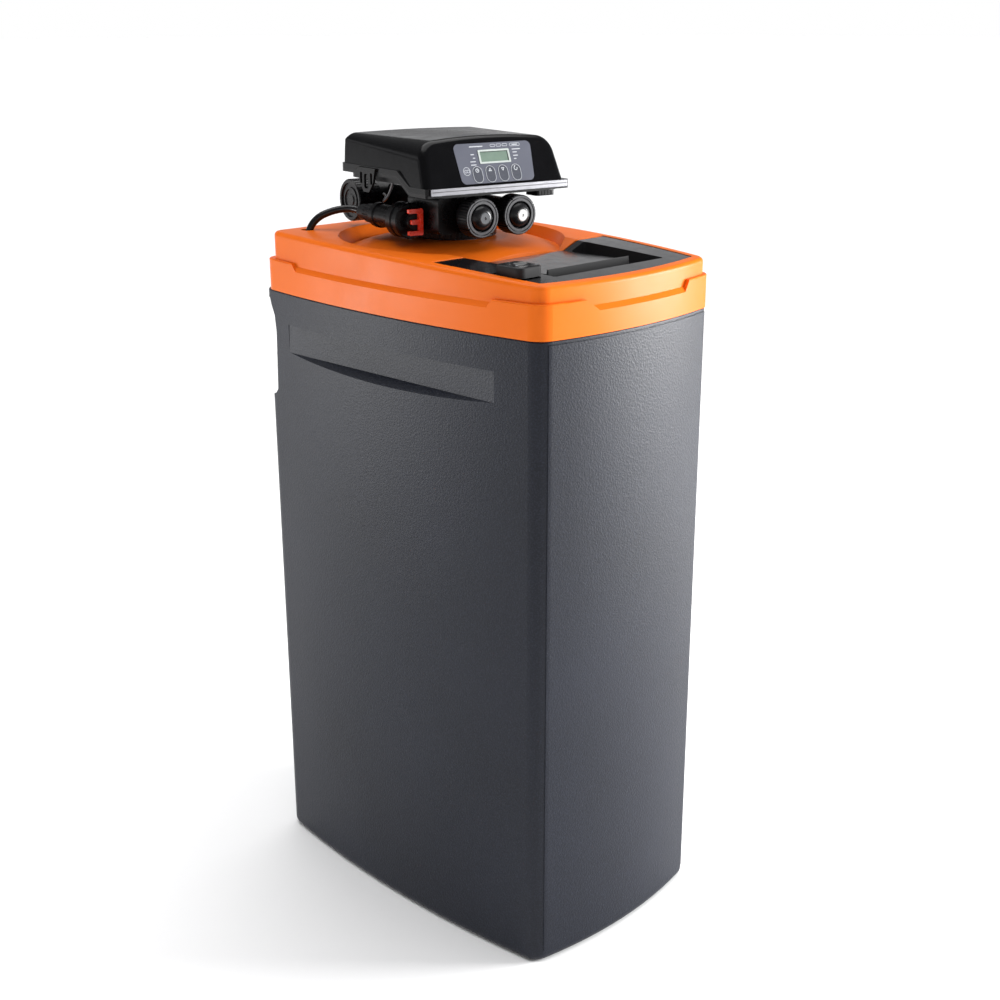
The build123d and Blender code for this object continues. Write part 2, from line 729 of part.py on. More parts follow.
with BuildPart() as head_base:
    add(tray_outer.part)
    add(tray_rim.part)
    add(tray_room.part, mode=Mode.SUBTRACT)
    with BuildSketch(level(938)):
        Circle(38.7)
    extrude(amount=40, mode=Mode.SUBTRACT)
    # idler post and motor seat
    with BuildSketch(level(958)):
        with Locations(IDLER):
            Circle(2.5)
    extrude(amount=26)
    with BuildSketch(level(958)):
        with Locations(IDLER):
            Circle(4.5)
    extrude(amount=7.5)
finish(head_base, "head_base")

with BuildPart() as valve_body:
    with BuildSketch(level(862)):
        Circle(33)
    extrude(amount=28)
    with BuildSketch(level(888)):
        Circle(42)
    extrude(amount=10)
    with BuildSketch(level(897)):
        Circle(52)
    extrude(amount=6)
    with BuildSketch(level(902)):
        Circle(46)
    extrude(amount=46)
    with BuildSketch(level(948)):
        Circle(46)
        Circle(38.7, mode=Mode.SUBTRACT)
    extrude(amount=9)
    # two port stubs to the front
    with BuildSketch(front(0)):
        with Locations((-PORT_U, PORT_Z), (PORT_U, PORT_Z)):
            Circle(18.5)
    extrude(amount=99)
    with BuildSketch(front(-84)):
        with Locations((-PORT_U, PORT_Z), (PORT_U, PORT_Z)):
            Circle(19.95)
    extrude(amount=16)
    # left wing with the brine port
    with BuildSketch(front(-5)) as wing:
        with Locations((-54, 920.5)):
            RectangleRounded(36, 46, 7)
    extrude(amount=70)
    # rear neck and the meter barrel
    with BuildSketch(side(-27)):
        with Locations((74, 921.5)):
            RectangleRounded(88, 40, 6)
    extrude(amount=54)
    with BuildSketch(side(-56)):
        with Locations((BARREL_V, BARREL_Z)):
            Circle(24)
    extrude(amount=110)
    fillet(valve_body.faces().filter_by(Plane(origin=world(54, 0), x_dir=YV, z_dir=XV)).sort_by(Axis(world(0, 0), XV))[-1].edges(), 8)
    # bore for the riser, top waterway, rotor chamber
    with BuildSketch(level(860)):
        Circle(28)
    extrude(amount=20, mode=Mode.SUBTRACT)
    with BuildSketch(level(860)):
        Circle(RISER_R + 0.05)
    extrude(amount=44, mode=Mode.SUBTRACT)
    with BuildSketch(level(915)):
        Circle(34)
    extrude(amount=50, mode=Mode.SUBTRACT)
    # port bores and the passages behind them
    with BuildSketch(front(-52)):
        with Locations((-PORT_U, PORT_Z), (PORT_U, PORT_Z)):
            Circle(13)
    extrude(amount=60, mode=Mode.SUBTRACT)
    with BuildSketch(front(-18)):
        with Locations((-PORT_U, 904), (PORT_U, 904)):
            Circle(7)
    extrude(amount=40, mode=Mode.SUBTRACT)
    with BuildSketch(level(904)):
        with Locations((-20, -20), (20, -20), (-20, 16), (20, 16)):
            Circle(6)
    extrude(amount=12, mode=Mode.SUBTRACT)
    # meter bore, joined to the rotor chamber's floor
    with BuildSketch(side(-60)):
        with Locations((BARREL_V, BARREL_Z)):
            Circle(19)
    extrude(amount=60, mode=Mode.SUBTRACT)
    with BuildSketch(front(128)):
        with Locations((-18, 911)):
            Circle(6)
    extrude(amount=114, mode=Mode.SUBTRACT)
    # seat of the drain elbow in the other end of the barrel
    with BuildSketch(side(24)):
        with Locations((BARREL_V, BARREL_Z)):
            Circle(8)
    extrude(amount=40, mode=Mode.SUBTRACT)
    # room for the collar of the brine fitting
    with BuildSketch(front(6)):
        with Locations((FIT_U, FIT_Z)):
            Circle(22.05)
    extrude(amount=42, mode=Mode.SUBTRACT)
    # bore for the brine branch
    with BuildSketch(side(-80)):
        with Locations((-21, FIT_Z)):
            Circle(11.9)
    extrude(amount=22, mode=Mode.SUBTRACT)
    with BuildSketch(side(-60)):
        with Locations((-21, FIT_Z - 4)):
            Circle(3.5)
    extrude(amount=28, mode=Mode.SUBTRACT)
    add(head_base.part, mode=Mode.SUBTRACT)
    add(tray_outer.part, mode=Mode.SUBTRACT)
finish(valve_body, "valve_body")

with BuildPart() as tank_collar:
    with BuildSketch(level(885.5)):
        Circle(55)
        Circle(42.4, mode=Mode.SUBTRACT)
    extrude(amount=11.5)
    chamfer(tank_collar.edges().filter_by(GeomType.CIRCLE).filter_by(lambda e: e.radius > 50), 1.2)
    with BuildSketch(level(887.5)):
        with PolarLocations(55, 48):
            Circle(1.1)
    extrude(amount=7.5, mode=Mode.SUBTRACT)
finish(tank_collar, "tank_collar")

with BuildPart() as collar_seal:
    with BuildSketch(level(NECK_TOP)):
        Circle(41)
        Circle(34.5, mode=Mode.SUBTRACT)
    extrude(amount=2)
finish(collar_seal, "collar_seal")

# ports: knurled hand nut over a domed plug with a centre disc
for s_, tag in ((-1, "left"), (1, "right")):
    u0 = s_ * PORT_U
    ax = axis_v(u0, PORT_Z)
    with BuildPart() as port_plug:
        with BuildSketch(level(PORT_Z)):
            with BuildLine():
                Polyline((u0, -88), (u0 + 12.7, -88), (u0 + 12.7, -100), (u0 + 19, -100), (u0 + 19, -103.7), (u0 + 16, -103.7))
                ThreePointArc((u0 + 16, -103.7), (u0 + 13.2, -108.3), (u0 + 8.2, -111.2))
                Polyline((u0 + 8.2, -111.2), (u0 + 7.2, -111.2), (u0 + 7.2, -110.2), (u0, -110.2), (u0, -88))
            make_face()
        revolve(axis=ax)
    finish(port_plug, "port_plug_" + tag)
    with BuildPart() as plug_disc:
        with BuildSketch(level(PORT_Z)):
            Polygon((u0, -110.2), (u0 + 7.2, -110.2), (u0 + 7.2, -111.9), (u0 + 6.4, -112.6), (u0 + 2, -112.6), (u0 + 1.4, -111.6), (u0, -111.6), align=None)
        revolve(axis=ax)
    finish(plug_disc, "plug_disc_" + tag)
    with BuildPart() as port_nut:
        with BuildSketch(level(PORT_Z)):
            Polygon((u0 + 20.03, -84.5), (u0 + 23.5, -84.5), (u0 + NUT_R, -85.5), (u0 + NUT_R, -105.8), (u0 + 23.2, -107),
                    (u0 + 21.4, -107), (u0 + 21.4, -105.2), (u0 + 20.2, -105.2), (u0 + 20.2, -107), (u0 + 17.2, -107), (u0 + 16.6, -106.4),
                    (u0 + 16.6, -104), (u0 + 20.03, -104), align=None)
        revolve(axis=ax)
        with BuildSketch(front(-84)):
            with Locations((u0, PORT_Z)):
                with PolarLocations(NUT_R + 0.2, 40, start_angle=4.5):
                    Circle(0.95)
        extrude(amount=24, mode=Mode.SUBTRACT)
        with BuildSketch(front(-84)):
            with Locations((u0, PORT_Z)):
                with PolarLocations(NUT_R, 4, start_angle=32):
                    Rectangle(4.6, 2.0)
        extrude(amount=24, mode=Mode.SUBTRACT)
    finish(port_nut, "port_nut_" + tag)

# meter cap, turbine and its axle
AX_BARREL = axis_u(BARREL_V, BARREL_Z)
with BuildPart() as meter_cap:
    with BuildSketch(level(BARREL_Z)):
        Polygon((-56, BARREL_V), (-56, BARREL_V + 24), (-44, BARREL_V + 24), (-44, BARREL_V + 27.5), (-76.5, BARREL_V + 27.5), (-78, BARREL_V + 26.3),
                (-78, BARREL_V + 22.6), (-75.4, BARREL_V + 21.6), (-75.4, BARREL_V + 17.2), (-77, BARREL_V + 16.6), (-77, BARREL_V + 14.4),
                (-75.4, BARREL_V + 13.6), (-75.4, BARREL_V + 8), (-76.6, BARREL_V + 7.2), (-76.6, BARREL_V), align=None)
    revolve(axis=AX_BARREL)
    with BuildSketch(side(-76.4)):
        with Locations((BARREL_V, BARREL_Z)):
            with PolarLocations(27.7, 36):
                Circle(0.9)
    extrude(amount=30, mode=Mode.SUBTRACT)
finish(meter_cap, "meter_cap")

with BuildPart() as turbine_axle:
    with BuildSketch(side(-56)):
        with Locations((BARREL_V, BARREL_Z)):
            Circle(1.5)
    extrude(amount=56)
    with BuildSketch(side(-56)):
        with Locations((BARREL_V, BARREL_Z)):
            Circle(4)
    extrude(amount=8)
finish(turbine_axle, "turbine_axle")

# drain elbow in the far end of the barrel, spigot to the rear
with BuildPart() as drain_elbow:
    with BuildSketch(side(34)):
        with Locations((BARREL_V, BARREL_Z)):
            Circle(7.95)
    extrude(amount=34)
    with BuildSketch(side(54)):
        with Locations((BARREL_V, BARREL_Z)):
            RegularPolygon(12.5, 6)
    extrude(amount=5)
    with Locations(world(68, BARREL_V, BARREL_Z)):
        Sphere(7.95)
    with BuildSketch(front(BARREL_V + 36)):
        with Locations((68, BARREL_Z)):
            Circle(6.35)
    extrude(amount=36)
    with BuildSketch(front(BARREL_V + 8)):
        with Locations((68, BARREL_Z)):
            Circle(9)
    extrude(amount=4)
    with BuildSketch(side(30)):
        with Locations((BARREL_V, BARREL_Z)):
            Circle(4.5)
    extrude(amount=38, mode=Mode.SUBTRACT)
    with BuildSketch(front(BARREL_V + 40)):
        with Locations((68, BARREL_Z)):
            Circle(4.5)
    extrude(amount=40, mode=Mode.SUBTRACT)
finish(drain_elbow, "drain_elbow")

with BuildPart() as meter_turbine:
    with BuildSketch(side(-47)):
        with Locations((BARREL_V, BARREL_Z)):
            Circle(5)
            with PolarLocations(10.5, 6):
                Rectangle(14, 2.2)
            Circle(1.55, mode=Mode.SUBTRACT)
    extrude(amount=14)
finish(meter_turbine, "meter_turbine")

# brine fitting on the left: clip at the front end, nut at the rear end
AX_FIT = axis_v(FIT_U, FIT_Z)
with BuildPart() as brine_fitting:
    with BuildSketch(level(FIT_Z)) as fit_prof:
        Polygon((FIT_U, -44), (FIT_U + 10, -44), (FIT_U + 11, -43), (FIT_U + 11, -34), (FIT_U + 20.5, -34), (FIT_U + 22, -32.5), (FIT_U + 22, -24),
                (FIT_U + 20.5, -23), (FIT_U + 20.5, -19), (FIT_U + 22, -18), (FIT_U + 22, -8), (FIT_U + 20, -6), (FIT_U + 15.5, -4), (FIT_U + 15.5, 8),
                (FIT_U + 14.3, 10), (FIT_U + 14.3, 34), (FIT_U + 16, 36), (FIT_U + 16, 44), (FIT_U + 14, 46), (FIT_U + 11, 48), (FIT_U, 48), align=None)
    revolve(axis=AX_FIT)
    with BuildSketch(side(FIT_U)):
        with Locations((-21, FIT_Z)):
            Circle(11.9)
    extrude(amount=28)
    with BuildSketch(front(48)):
        with Locations((FIT_U, FIT_Z)):
            Circle(3.0)
    extrude(amount=68, mode=Mode.SUBTRACT)
finish(brine_fitting, "brine_fitting")

with BuildPart() as retaining_clip:
    with BuildSketch(front(-44)) as clip_plan:
        with Locations((-80, FIT_Z)):
            RectangleRounded(6, 33, 2.6)
        with Locations((-88.5, FIT_Z + 13.4)):
            RectangleRounded(18, 5.4, 1.6)
        with Locations((-88.5, FIT_Z - 13.4)):
            RectangleRounded(18, 5.4, 1.6)
        with Locations((-86.5, FIT_Z)):
            RectangleRounded(14, 6.0, 1.6)
    extrude(amount=4.5)
    with BuildSketch(front(-48.5)):
        with Locations((-80, FIT_Z)):
            RectangleRounded(3.4, 22, 1.4)
    extrude(amount=1.6)
finish(retaining_clip, "retaining_clip")

with BuildPart() as brine_nut:
    with BuildSketch(level(FIT_Z)):
        Polygon((FIT_U + 5.0, 48), (FIT_U + 12.2, 48), (FIT_U + 12.2, 66), (FIT_U + 10.5, 69), (FIT_U + 10, 84), (FIT_U + 8.6, 86), (FIT_U + 6.4, 86), (FIT_U + 5.0, 74), align=None)
    revolve(axis=AX_FIT)
    with BuildSketch(front(66)):
        with Locations((FIT_U, FIT_Z)):
            with PolarLocations(12.4, 16):
                Circle(1.0)
    extrude(amount=15, mode=Mode.SUBTRACT)
finish(brine_nut, "brine_nut")


def tube_route(points):
    """Radius for each corner: 0.45 of the shorter run over tan(half turn)."""
    out = []
    for a, b, c in zip(points, points[1:], points[2:]):
        p = [b[i] - a[i] for i in range(3)]
        q = [c[i] - b[i] for i in range(3)]
        lp, lq = math.dist(a, b), math.dist(b, c)
        cosang = max(-1.0, min(1.0, sum(x * y for x, y in zip(p, q)) / (lp * lq)))
        turn = math.acos(cosang)
        out.append(0.45 * min(lp, lq) / math.tan(turn / 2))
    return out


LINE_PTS = [world(FIT_U, 48, FIT_Z), world(FIT_U, 66, FIT_Z), world(FIT_U - 0.2, 87, FIT_Z + 0.3), world(-91.5, 107, 914.5),
            world(-106, 123, 911.5), world(-124, 135, 903.5), world(-136.2, 140.2, 888.5), (-112.1, 205.9, 868),
            (-112.1, 205.9, 846), (-111.8, 206.2, 808), (-112.2, 206.1, 750), (-112.0, 206.0, 696), (-112.0, 206.0, 642)]
LINE_RAD = tube_route(LINE_PTS)
print("brine_line radii", [round(r, 1) for r in LINE_RAD])

with BuildPart() as brine_line:
    with BuildLine() as line_path:
        FilletPolyline(*LINE_PTS, radius=LINE_RAD)
    line_wire = line_path.wires()[0]
    with BuildSketch(Plane(origin=LINE_PTS[0], z_dir=line_wire % 0)):
        Circle(HOSE_R)
    sweep(path=line_wire)
print("brine_line length", round(line_wire.length, 1), "volume ratio", round(brine_line.part.volume / (math.pi * HOSE_R ** 2 * line_wire.length), 4))
finish(brine_line, "brine_line")

CABLE_PTS = [world(-38.5, 112, 929), world(-41, 99, 927.5), world(-51, 87, 925.5), world(-61, 73.5, 924.5), world(-69, 58, 926.5),
             world(-73, 43, 933), world(-73.5, 32, 944), world(-73, 26, 958.5)]
CABLE_RAD = tube_route(CABLE_PTS)
print("meter_cable radii", [round(r, 1) for r in CABLE_RAD])
with BuildPart() as meter_cable:
    with BuildLine() as cable_path:
        FilletPolyline(*CABLE_PTS, radius=CABLE_RAD)
    cable_wire = cable_path.wires()[0]
    with BuildSketch(Plane(origin=CABLE_PTS[0], z_dir=cable_wire % 0)):
        Circle(CABLE_R)
    sweep(path=cable_wire)
    add(valve_body.part, mode=Mode.SUBTRACT)
    add(head_base.part, mode=Mode.SUBTRACT)
print("meter_cable length", round(cable_wire.length, 1), "volume ratio", round(meter_cable.part.volume / (math.pi * CABLE_R ** 2 * cable_wire.length), 4))
finish(meter_cable, "meter_cable")

# rotary valve core
with BuildPart() as stator_disc:
    with BuildSketch(level(915)):
        Circle(33.9)
        with Locations((-20, -20), (20, -20), (-20, 16), (20, 16)):
            Circle(6, mode=Mode.SUBTRACT)
    extrude(amount=6)
finish(stator_disc, "stator_disc")

with BuildPart() as rotor_disc:
    with BuildSketch(level(921.05)):
        Circle(31)
        with Locations((0, 18)):
            SlotOverall(34, 13, mode=Mode.SUBTRACT)
        with Locations((-14, -17)):
            Circle(7, mode=Mode.SUBTRACT)
    extrude(amount=6.95)
finish(rotor_disc, "rotor_disc")

with BuildPart() as drive_shaft:
    with BuildSketch(level(928)):
        Circle(28)
        with PolarLocations(20, 4, start_angle=45):
            Circle(5, mode=Mode.SUBTRACT)
    extrude(amount=6)
    with BuildSketch(level(934)):
        Circle(6)
    extrude(amount=44)
finish(drive_shaft, "drive_shaft")

with BuildPart() as valve_bonnet:
    with BuildSketch(level(943)):
        Circle(33.9)
    extrude(amount=5)
    with BuildSketch(level(948)):
        Circle(38.6)
    extrude(amount=7)
    with BuildSketch(level(940)):
        Circle(6.08)
    extrude(amount=20, mode=Mode.SUBTRACT)
finish(valve_bonnet, "valve_bonnet")

with BuildPart() as bonnet_screws:
    with BuildSketch(level(955)):
        with PolarLocations(32, 6):
            Circle(3.2)
    extrude(amount=2.6)
    with BuildSketch(level(957)):
        with PolarLocations(32, 6):
            Rectangle(4.4, 0.9)
            Rectangle(0.9, 4.4)
    extrude(amount=0.6, mode=Mode.SUBTRACT)
finish(bonnet_screws, "bonnet_screws")

with BuildPart() as main_gear:
    with BuildSketch(level(966)):
        add(gear(Z_MAIN, 1.0, 6.0, 45.0))
        with PolarLocations(20, 5):
            Circle(7, mode=Mode.SUBTRACT)
    extrude(amount=8)
finish(main_gear, "main_gear")

with BuildPart() as idler_gear:
    with BuildSketch(level(966)):
        with Locations(IDLER):
            add(gear(Z_SMALL, 1.0, 2.57, 225.0 + 180.0 / Z_SMALL))
    extrude(amount=10)
    with BuildSketch(level(976)):
        with Locations(IDLER):
            add(gear(Z_BIG, 1.0, 2.57, 0.0))
    extrude(amount=5)
finish(idler_gear, "idler_gear")

with BuildPart() as motor_pinion:
    with BuildSketch(level(975.6)):
        with Locations(MOTOR):
            add(gear(Z_PINION, 1.0, 0, 180.0 + 180.0 / Z_PINION))
    extrude(amount=6)
    with BuildSketch(level(966)):
        with Locations(MOTOR):
            Circle(2)
    extrude(amount=10)
finish(motor_pinion, "motor_pinion")

with BuildPart() as drive_motor:
    with BuildSketch(level(960)):
        with Locations(MOTOR):
            Circle(19)
    extrude(amount=14)
    with BuildSketch(level(970)):
        with Locations(MOTOR):
            SlotOverall(50, 9, rotation=90)
    extrude(amount=2)
    with BuildSketch(level(974)):
        with Locations(MOTOR):
            Circle(5)
    extrude(amount=1.2)
    with BuildSketch(level(965)):
        with Locations(MOTOR):
            Circle(2.06)
    extrude(amount=20, mode=Mode.SUBTRACT)
finish(drive_motor, "drive_motor")


# ---------------------------------------------------------------- head cover
def valve_uv(p):
    """Valve coordinates of a point."""
    x, y = p.X, p.Y - TANK_Y
    return (x * CT - y * ST, x * ST + y * CT)


HOOD_U0 = -2.0


SIDE_LEAN = math.radians(7)


def hood_section(v, half, z_side, r, lean_deg, t):
    """Upright section of the hood: sides that lean out, big shoulders and a slightly crowned top, moved in by t."""
    e = math.radians(lean_deg)
    c, q = half - r, r - t
    m = (SIDE_LEAN + math.pi / 2 - e) / 2
    low = (c + q * math.cos(SIDE_LEAN), z_side + q * math.sin(SIDE_LEAN))
    foot = low[0] + (low[1] - 925) * math.tan(SIDE_LEAN)
    edge = (c + q * math.sin(e), z_side + q * math.cos(e))
    mid = (c + q * math.cos(m), z_side + q * math.sin(m))
    top = edge[1] + edge[0] * math.tan(e / 2)
    with BuildSketch(front(v)) as s:
        with BuildLine():
            Line((HOOD_U0 - foot, 925), (HOOD_U0 - low[0], low[1]))
            ThreePointArc((HOOD_U0 - low[0], low[1]), (HOOD_U0 - mid[0], mid[1]), (HOOD_U0 - edge[0], edge[1]))
            ThreePointArc((HOOD_U0 - edge[0], edge[1]), (HOOD_U0, top), (HOOD_U0 + edge[0], edge[1]))
            ThreePointArc((HOOD_U0 + edge[0], edge[1]), (HOOD_U0 + mid[0], mid[1]), (HOOD_U0 + low[0], low[1]))
            Polyline((HOOD_U0 + low[0], low[1]), (HOOD_U0 + foot, 925), (HOOD_U0 - foot, 925))
        make_face()
    return s.sketch


def hood_form(t, r_front):
    """Outer form of the hood moved in by t: leaning front, full shoulders that sharpen to the rear."""
    with BuildPart() as h:
        add(hood_section(101, 99.0, 1001.0, 11.0, 1.5, t))
        add(hood_section(-139, 101.0, 980.0, 31.0, 6.6, t))
        loft(ruled=True)
        with BuildPart(mode=Mode.PRIVATE) as plan_block:
            with BuildSketch(level(920)) as plan:
                with Locations((HOOD_U0, -29)):
                    Rectangle(2 * (107 - t), 2 * (130 - t))
                fillet(plan.vertices().sort_by(Axis.Y)[-2:], 17 - t)
            extrude(amount=120)
        add(plan_block.part, mode=Mode.INTERSECT)
        # sloping cut along the top of the rear wall
        with BuildPart(mode=Mode.PRIVATE) as rear_cut:
            with BuildSketch(side(-130)):
                Polygon((102 - 1.414 * t, 1000), (140, 962 - 1.414 * t), (140, 1060), (42 - 1.414 * t, 1060), align=None)
            extrude(amount=260)
        add(rear_cut.part, mode=Mode.SUBTRACT)
        split(bisect_by=face_plane(-t), keep=Keep.BOTTOM)
        nf = Vector(*face_plane().z_dir)
        of = Vector(*face_plane(-t).origin)
        fillet(h.edges().filter_by(lambda e: abs((e @ 0.5 - of).dot(nf)) < 0.01 and abs((e @ 0.2 - of).dot(nf)) < 0.01 and (e @ 0.5).Z > 940), r_front)
    return h


hood_outer = hood_form(0, 10)
hood_inner = hood_form(3.2, 7)

with BuildPart() as below_parting:
    with BuildSketch(side(-130)):
        Polygon((-130, 900), (130, 900), (130, 968.5), (-38, 968.5), (-66, 951), (-103, 951), (-103, 960), (-130, 960), align=None)
    extrude(amount=260)

with BuildPart() as hood_rim:
    add(rim_plan.sketch)
    extrude(amount=60)
    with BuildPart(mode=Mode.PRIVATE) as hood_rim_side:
        with BuildSketch(side(-120)):
            Polygon((-103, 951), (-66, 951), (-38, 968.5), (107, 968.5), (107, 974.5), (-37, 974.5), (-66, 957.5), (-103, 957.5), align=None)
        extrude(amount=240)
    add(hood_rim_side.part, mode=Mode.INTERSECT)

KEY_S = (-30.5, -11.5, 7.5, 26.8)
KEY_T = -13.5
LCD = (-0.7, 8.2)

with BuildPart() as head_cover:
    add(hood_outer.part)
    add(below_parting.part, mode=Mode.SUBTRACT)
    add(hood_rim.part)
    add(hood_inner.part, mode=Mode.SUBTRACT)
    # four posts that carry the circuit board
    with BuildSketch(face_plane(-11)):
        with Locations((-54, -20), (54, -20), (-54, 18), (54, 18)):
            Circle(3)
    extrude(amount=9)
    # recess for the control panel, window, key wells
    with BuildSketch(face_plane(-0.8)) as panel_seat:
        Polygon((-58, 25.5), (57.5, 25.5), (52, -24.5), (-55.5, -24.5), align=None)
        fillet(panel_seat.vertices(), 7)
    extrude(amount=5, mode=Mode.SUBTRACT)
    with BuildSketch(face_plane(-6)):
        with Locations(LCD):
            Rectangle(43.4, 14.8)
        with Locations(*[(s, KEY_T) for s in KEY_S]):
            SlotOverall(21.6, 15.1, rotation=90)
    extrude(amount=12, mode=Mode.SUBTRACT)
finish(head_cover, "head_cover")

with BuildPart() as control_panel:
    with BuildSketch(face_plane(-0.8)) as panel_plan:
        Polygon((-58, 25.5), (57.5, 25.5), (52, -24.5), (-55.5, -24.5), align=None)
        fillet(panel_plan.vertices(), 7)
        with Locations(LCD):
            Rectangle(43.4, 14.8, mode=Mode.SUBTRACT)
        with Locations(*[(s, KEY_T) for s in KEY_S]):
            SlotOverall(21.6, 15.1, rotation=90, mode=Mode.SUBTRACT)
    extrude(amount=1.3)
finish(control_panel, "control_panel")

with BuildPart() as lcd_frame:
    with BuildSketch(face_plane(0.5)):
        with Locations(LCD):
            RectangleRounded(46.4, 17.2, 1.2)
            Rectangle(41.4, 12.8, mode=Mode.SUBTRACT)
    extrude(amount=0.5)
finish(lcd_frame, "lcd_frame")

with BuildPart() as lcd_glass:
    with BuildSketch(face_plane(-3.4)):
        with Locations(LCD):
            Rectangle(43.4, 14.8)
    extrude(amount=3.9)
finish(lcd_glass, "lcd_glass")

for s, tag in zip(KEY_S, ("set", "up", "down", "regen")):
    with BuildPart() as key:
        with BuildSketch(face_plane(-1.4)):
            with Locations((s, KEY_T)):
                SlotOverall(21, 14.5, rotation=90)
        extrude(amount=2.2)
        with BuildSketch(face_plane(-9.6)):
            with Locations((s, KEY_T)):
                Circle(2.4)
        extrude(amount=8.6)
    finish(key, "key_" + tag)

with BuildPart() as circuit_board:
    with BuildSketch(face_plane(-12.6)):
        Rectangle(118, 46)
    extrude(amount=1.6)
    with BuildSketch(face_plane(-15.6)):
        with Locations((-30, 4), (22, -6)):
            Rectangle(16, 10)
    extrude(amount=3.2)
finish(circuit_board, "circuit_board")

with BuildPart() as front_trim:
    with BuildSketch(front(-103)):
        with Locations((0.75, 953)):
            RectangleRounded(203.5, 8, 1.2)
    extrude(amount=2.4)
finish(front_trim, "front_trim")

with BuildPart() as cover_clips:
    for u0 in (-110, 107):
        with BuildSketch(side(u0)):
            Polygon((10, 973), (54, 973), (48.5, 955), (39, 943), (26, 943), (15.5, 955), align=None)
            with Locations((19.5, 960), (44.5, 960)):
                RectangleRounded(5, 14, 1.5, mode=Mode.SUBTRACT)
            with Locations((32, 956.5)):
                RectangleRounded(10, 18, 3, mode=Mode.SUBTRACT)
        extrude(amount=3)
finish(cover_clips, "cover_clips")

with BuildPart() as power_inlet:
    with BuildSketch(level(938)):
        with Locations((77, -82)):
            RectangleRounded(28, 26, 4)
    extrude(amount=7)
    with BuildSketch(front(-96)):
        with Locations((77, 941.5)):
            with GridLocations(5, 10, 4, 1):
                Rectangle(1.4, 8)
    extrude(amount=-1.4, mode=Mode.SUBTRACT)
finish(power_inlet, "power_inlet")

print("parts", len(os.listdir("parts")))
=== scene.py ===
import json
import math

import bmesh
import bpy
from mathutils import Matrix, Vector


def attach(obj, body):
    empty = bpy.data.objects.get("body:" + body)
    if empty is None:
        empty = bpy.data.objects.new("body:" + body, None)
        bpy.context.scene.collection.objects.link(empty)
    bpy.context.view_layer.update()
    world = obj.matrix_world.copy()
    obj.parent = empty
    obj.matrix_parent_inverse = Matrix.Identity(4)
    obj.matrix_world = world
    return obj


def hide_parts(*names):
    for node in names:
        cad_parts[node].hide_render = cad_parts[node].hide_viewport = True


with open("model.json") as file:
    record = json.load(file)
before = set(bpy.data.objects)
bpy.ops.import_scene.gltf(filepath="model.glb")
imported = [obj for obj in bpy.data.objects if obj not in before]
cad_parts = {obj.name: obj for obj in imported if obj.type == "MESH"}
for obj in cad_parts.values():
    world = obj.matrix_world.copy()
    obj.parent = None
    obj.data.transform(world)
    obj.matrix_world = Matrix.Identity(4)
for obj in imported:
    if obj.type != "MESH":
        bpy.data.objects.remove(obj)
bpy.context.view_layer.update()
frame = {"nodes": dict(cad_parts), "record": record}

scene = bpy.context.scene
nodes = frame["nodes"]

# ------------------------------------------------------------------ coordinates
# row frame in metres; the valve is turned 10 degrees on the vessel
T = math.radians(10.0)
CT, ST = math.cos(T), math.sin(T)
XV = Vector((CT, -ST, 0.0))
YV = Vector((ST, CT, 0.0))
ZV = Vector((0.0, 0.0, 1.0))
TILT = math.radians(22.1)
FN = Vector((-ST * math.cos(TILT), -CT * math.cos(TILT), math.sin(TILT)))
FY = FN.cross(XV)


def W(u, v, z):
    """Valve millimetres to row metres."""
    return Vector(((u * CT + v * ST) / 1000, (43 - u * ST + v * CT) / 1000, z / 1000))


FO = W(3.0, -90.9, 982.0)


def F(s, t, off=0.0):
    """Point on the sloping front face, millimetres."""
    return FO + (XV * s + FY * t + FN * off) / 1000


def R(x, y, z):
    """Cabinet millimetres to row metres."""
    return Vector((x / 1000, y / 1000, z / 1000))


# ----------------------------------------------------------------------- camera
cam_data = bpy.data.cameras.new("camera")
cam_data.sensor_fit = "HORIZONTAL"
cam_data.sensor_width = 36.0
cam_data.lens = 51.94
cam = bpy.data.objects.new("camera", cam_data)
scene.collection.objects.link(cam)
yaw, pitch, roll = 0.787434184, 0.320406084, -0.00217380485
fwd = Vector((math.sin(yaw) * math.cos(pitch), math.cos(yaw) * math.cos(pitch), -math.sin(pitch)))
right = Vector((math.cos(yaw), -math.sin(yaw), 0.0))
up = right.cross(fwd)
r2 = right * math.cos(roll) + up * math.sin(roll)
u2 = -right * math.sin(roll) + up * math.cos(roll)
cam.matrix_world = Matrix((
    (r2.x, u2.x, -fwd.x, -1.29233335),
    (r2.y, u2.y, -fwd.y, -1.32702355),
    (r2.z, u2.z, -fwd.z, 1.14667854),
    (0, 0, 0, 1),
))
scene.camera = cam

# ---------------------------------------------------------------- materials kit


def tree(name):
    m = bpy.data.materials.new(name)
    m.use_nodes = True
    nt = m.node_tree
    nt.nodes.clear()
    out = nt.nodes.new("ShaderNodeOutputMaterial")
    b = nt.nodes.new("ShaderNodeBsdfPrincipled")
    nt.links.new(b.outputs["BSDF"], out.inputs["Surface"])
    tc = nt.nodes.new("ShaderNodeTexCoord")
    return m, nt, b, tc


def noise(nt, tc, scale, detail=3.0, rough=0.5, stretch=None):
    n = nt.nodes.new("ShaderNodeTexNoise")
    n.inputs["Scale"].default_value = scale
    n.inputs["Detail"].default_value = detail
    n.inputs["Roughness"].default_value = rough
    if stretch:
        mp = nt.nodes.new("ShaderNodeMapping")
        mp.inputs["Scale"].default_value = stretch
        nt.links.new(tc.outputs["Object"], mp.inputs["Vector"])
        nt.links.new(mp.outputs["Vector"], n.inputs["Vector"])
    else:
        nt.links.new(tc.outputs["Object"], n.inputs["Vector"])
    return n.outputs["Fac"]


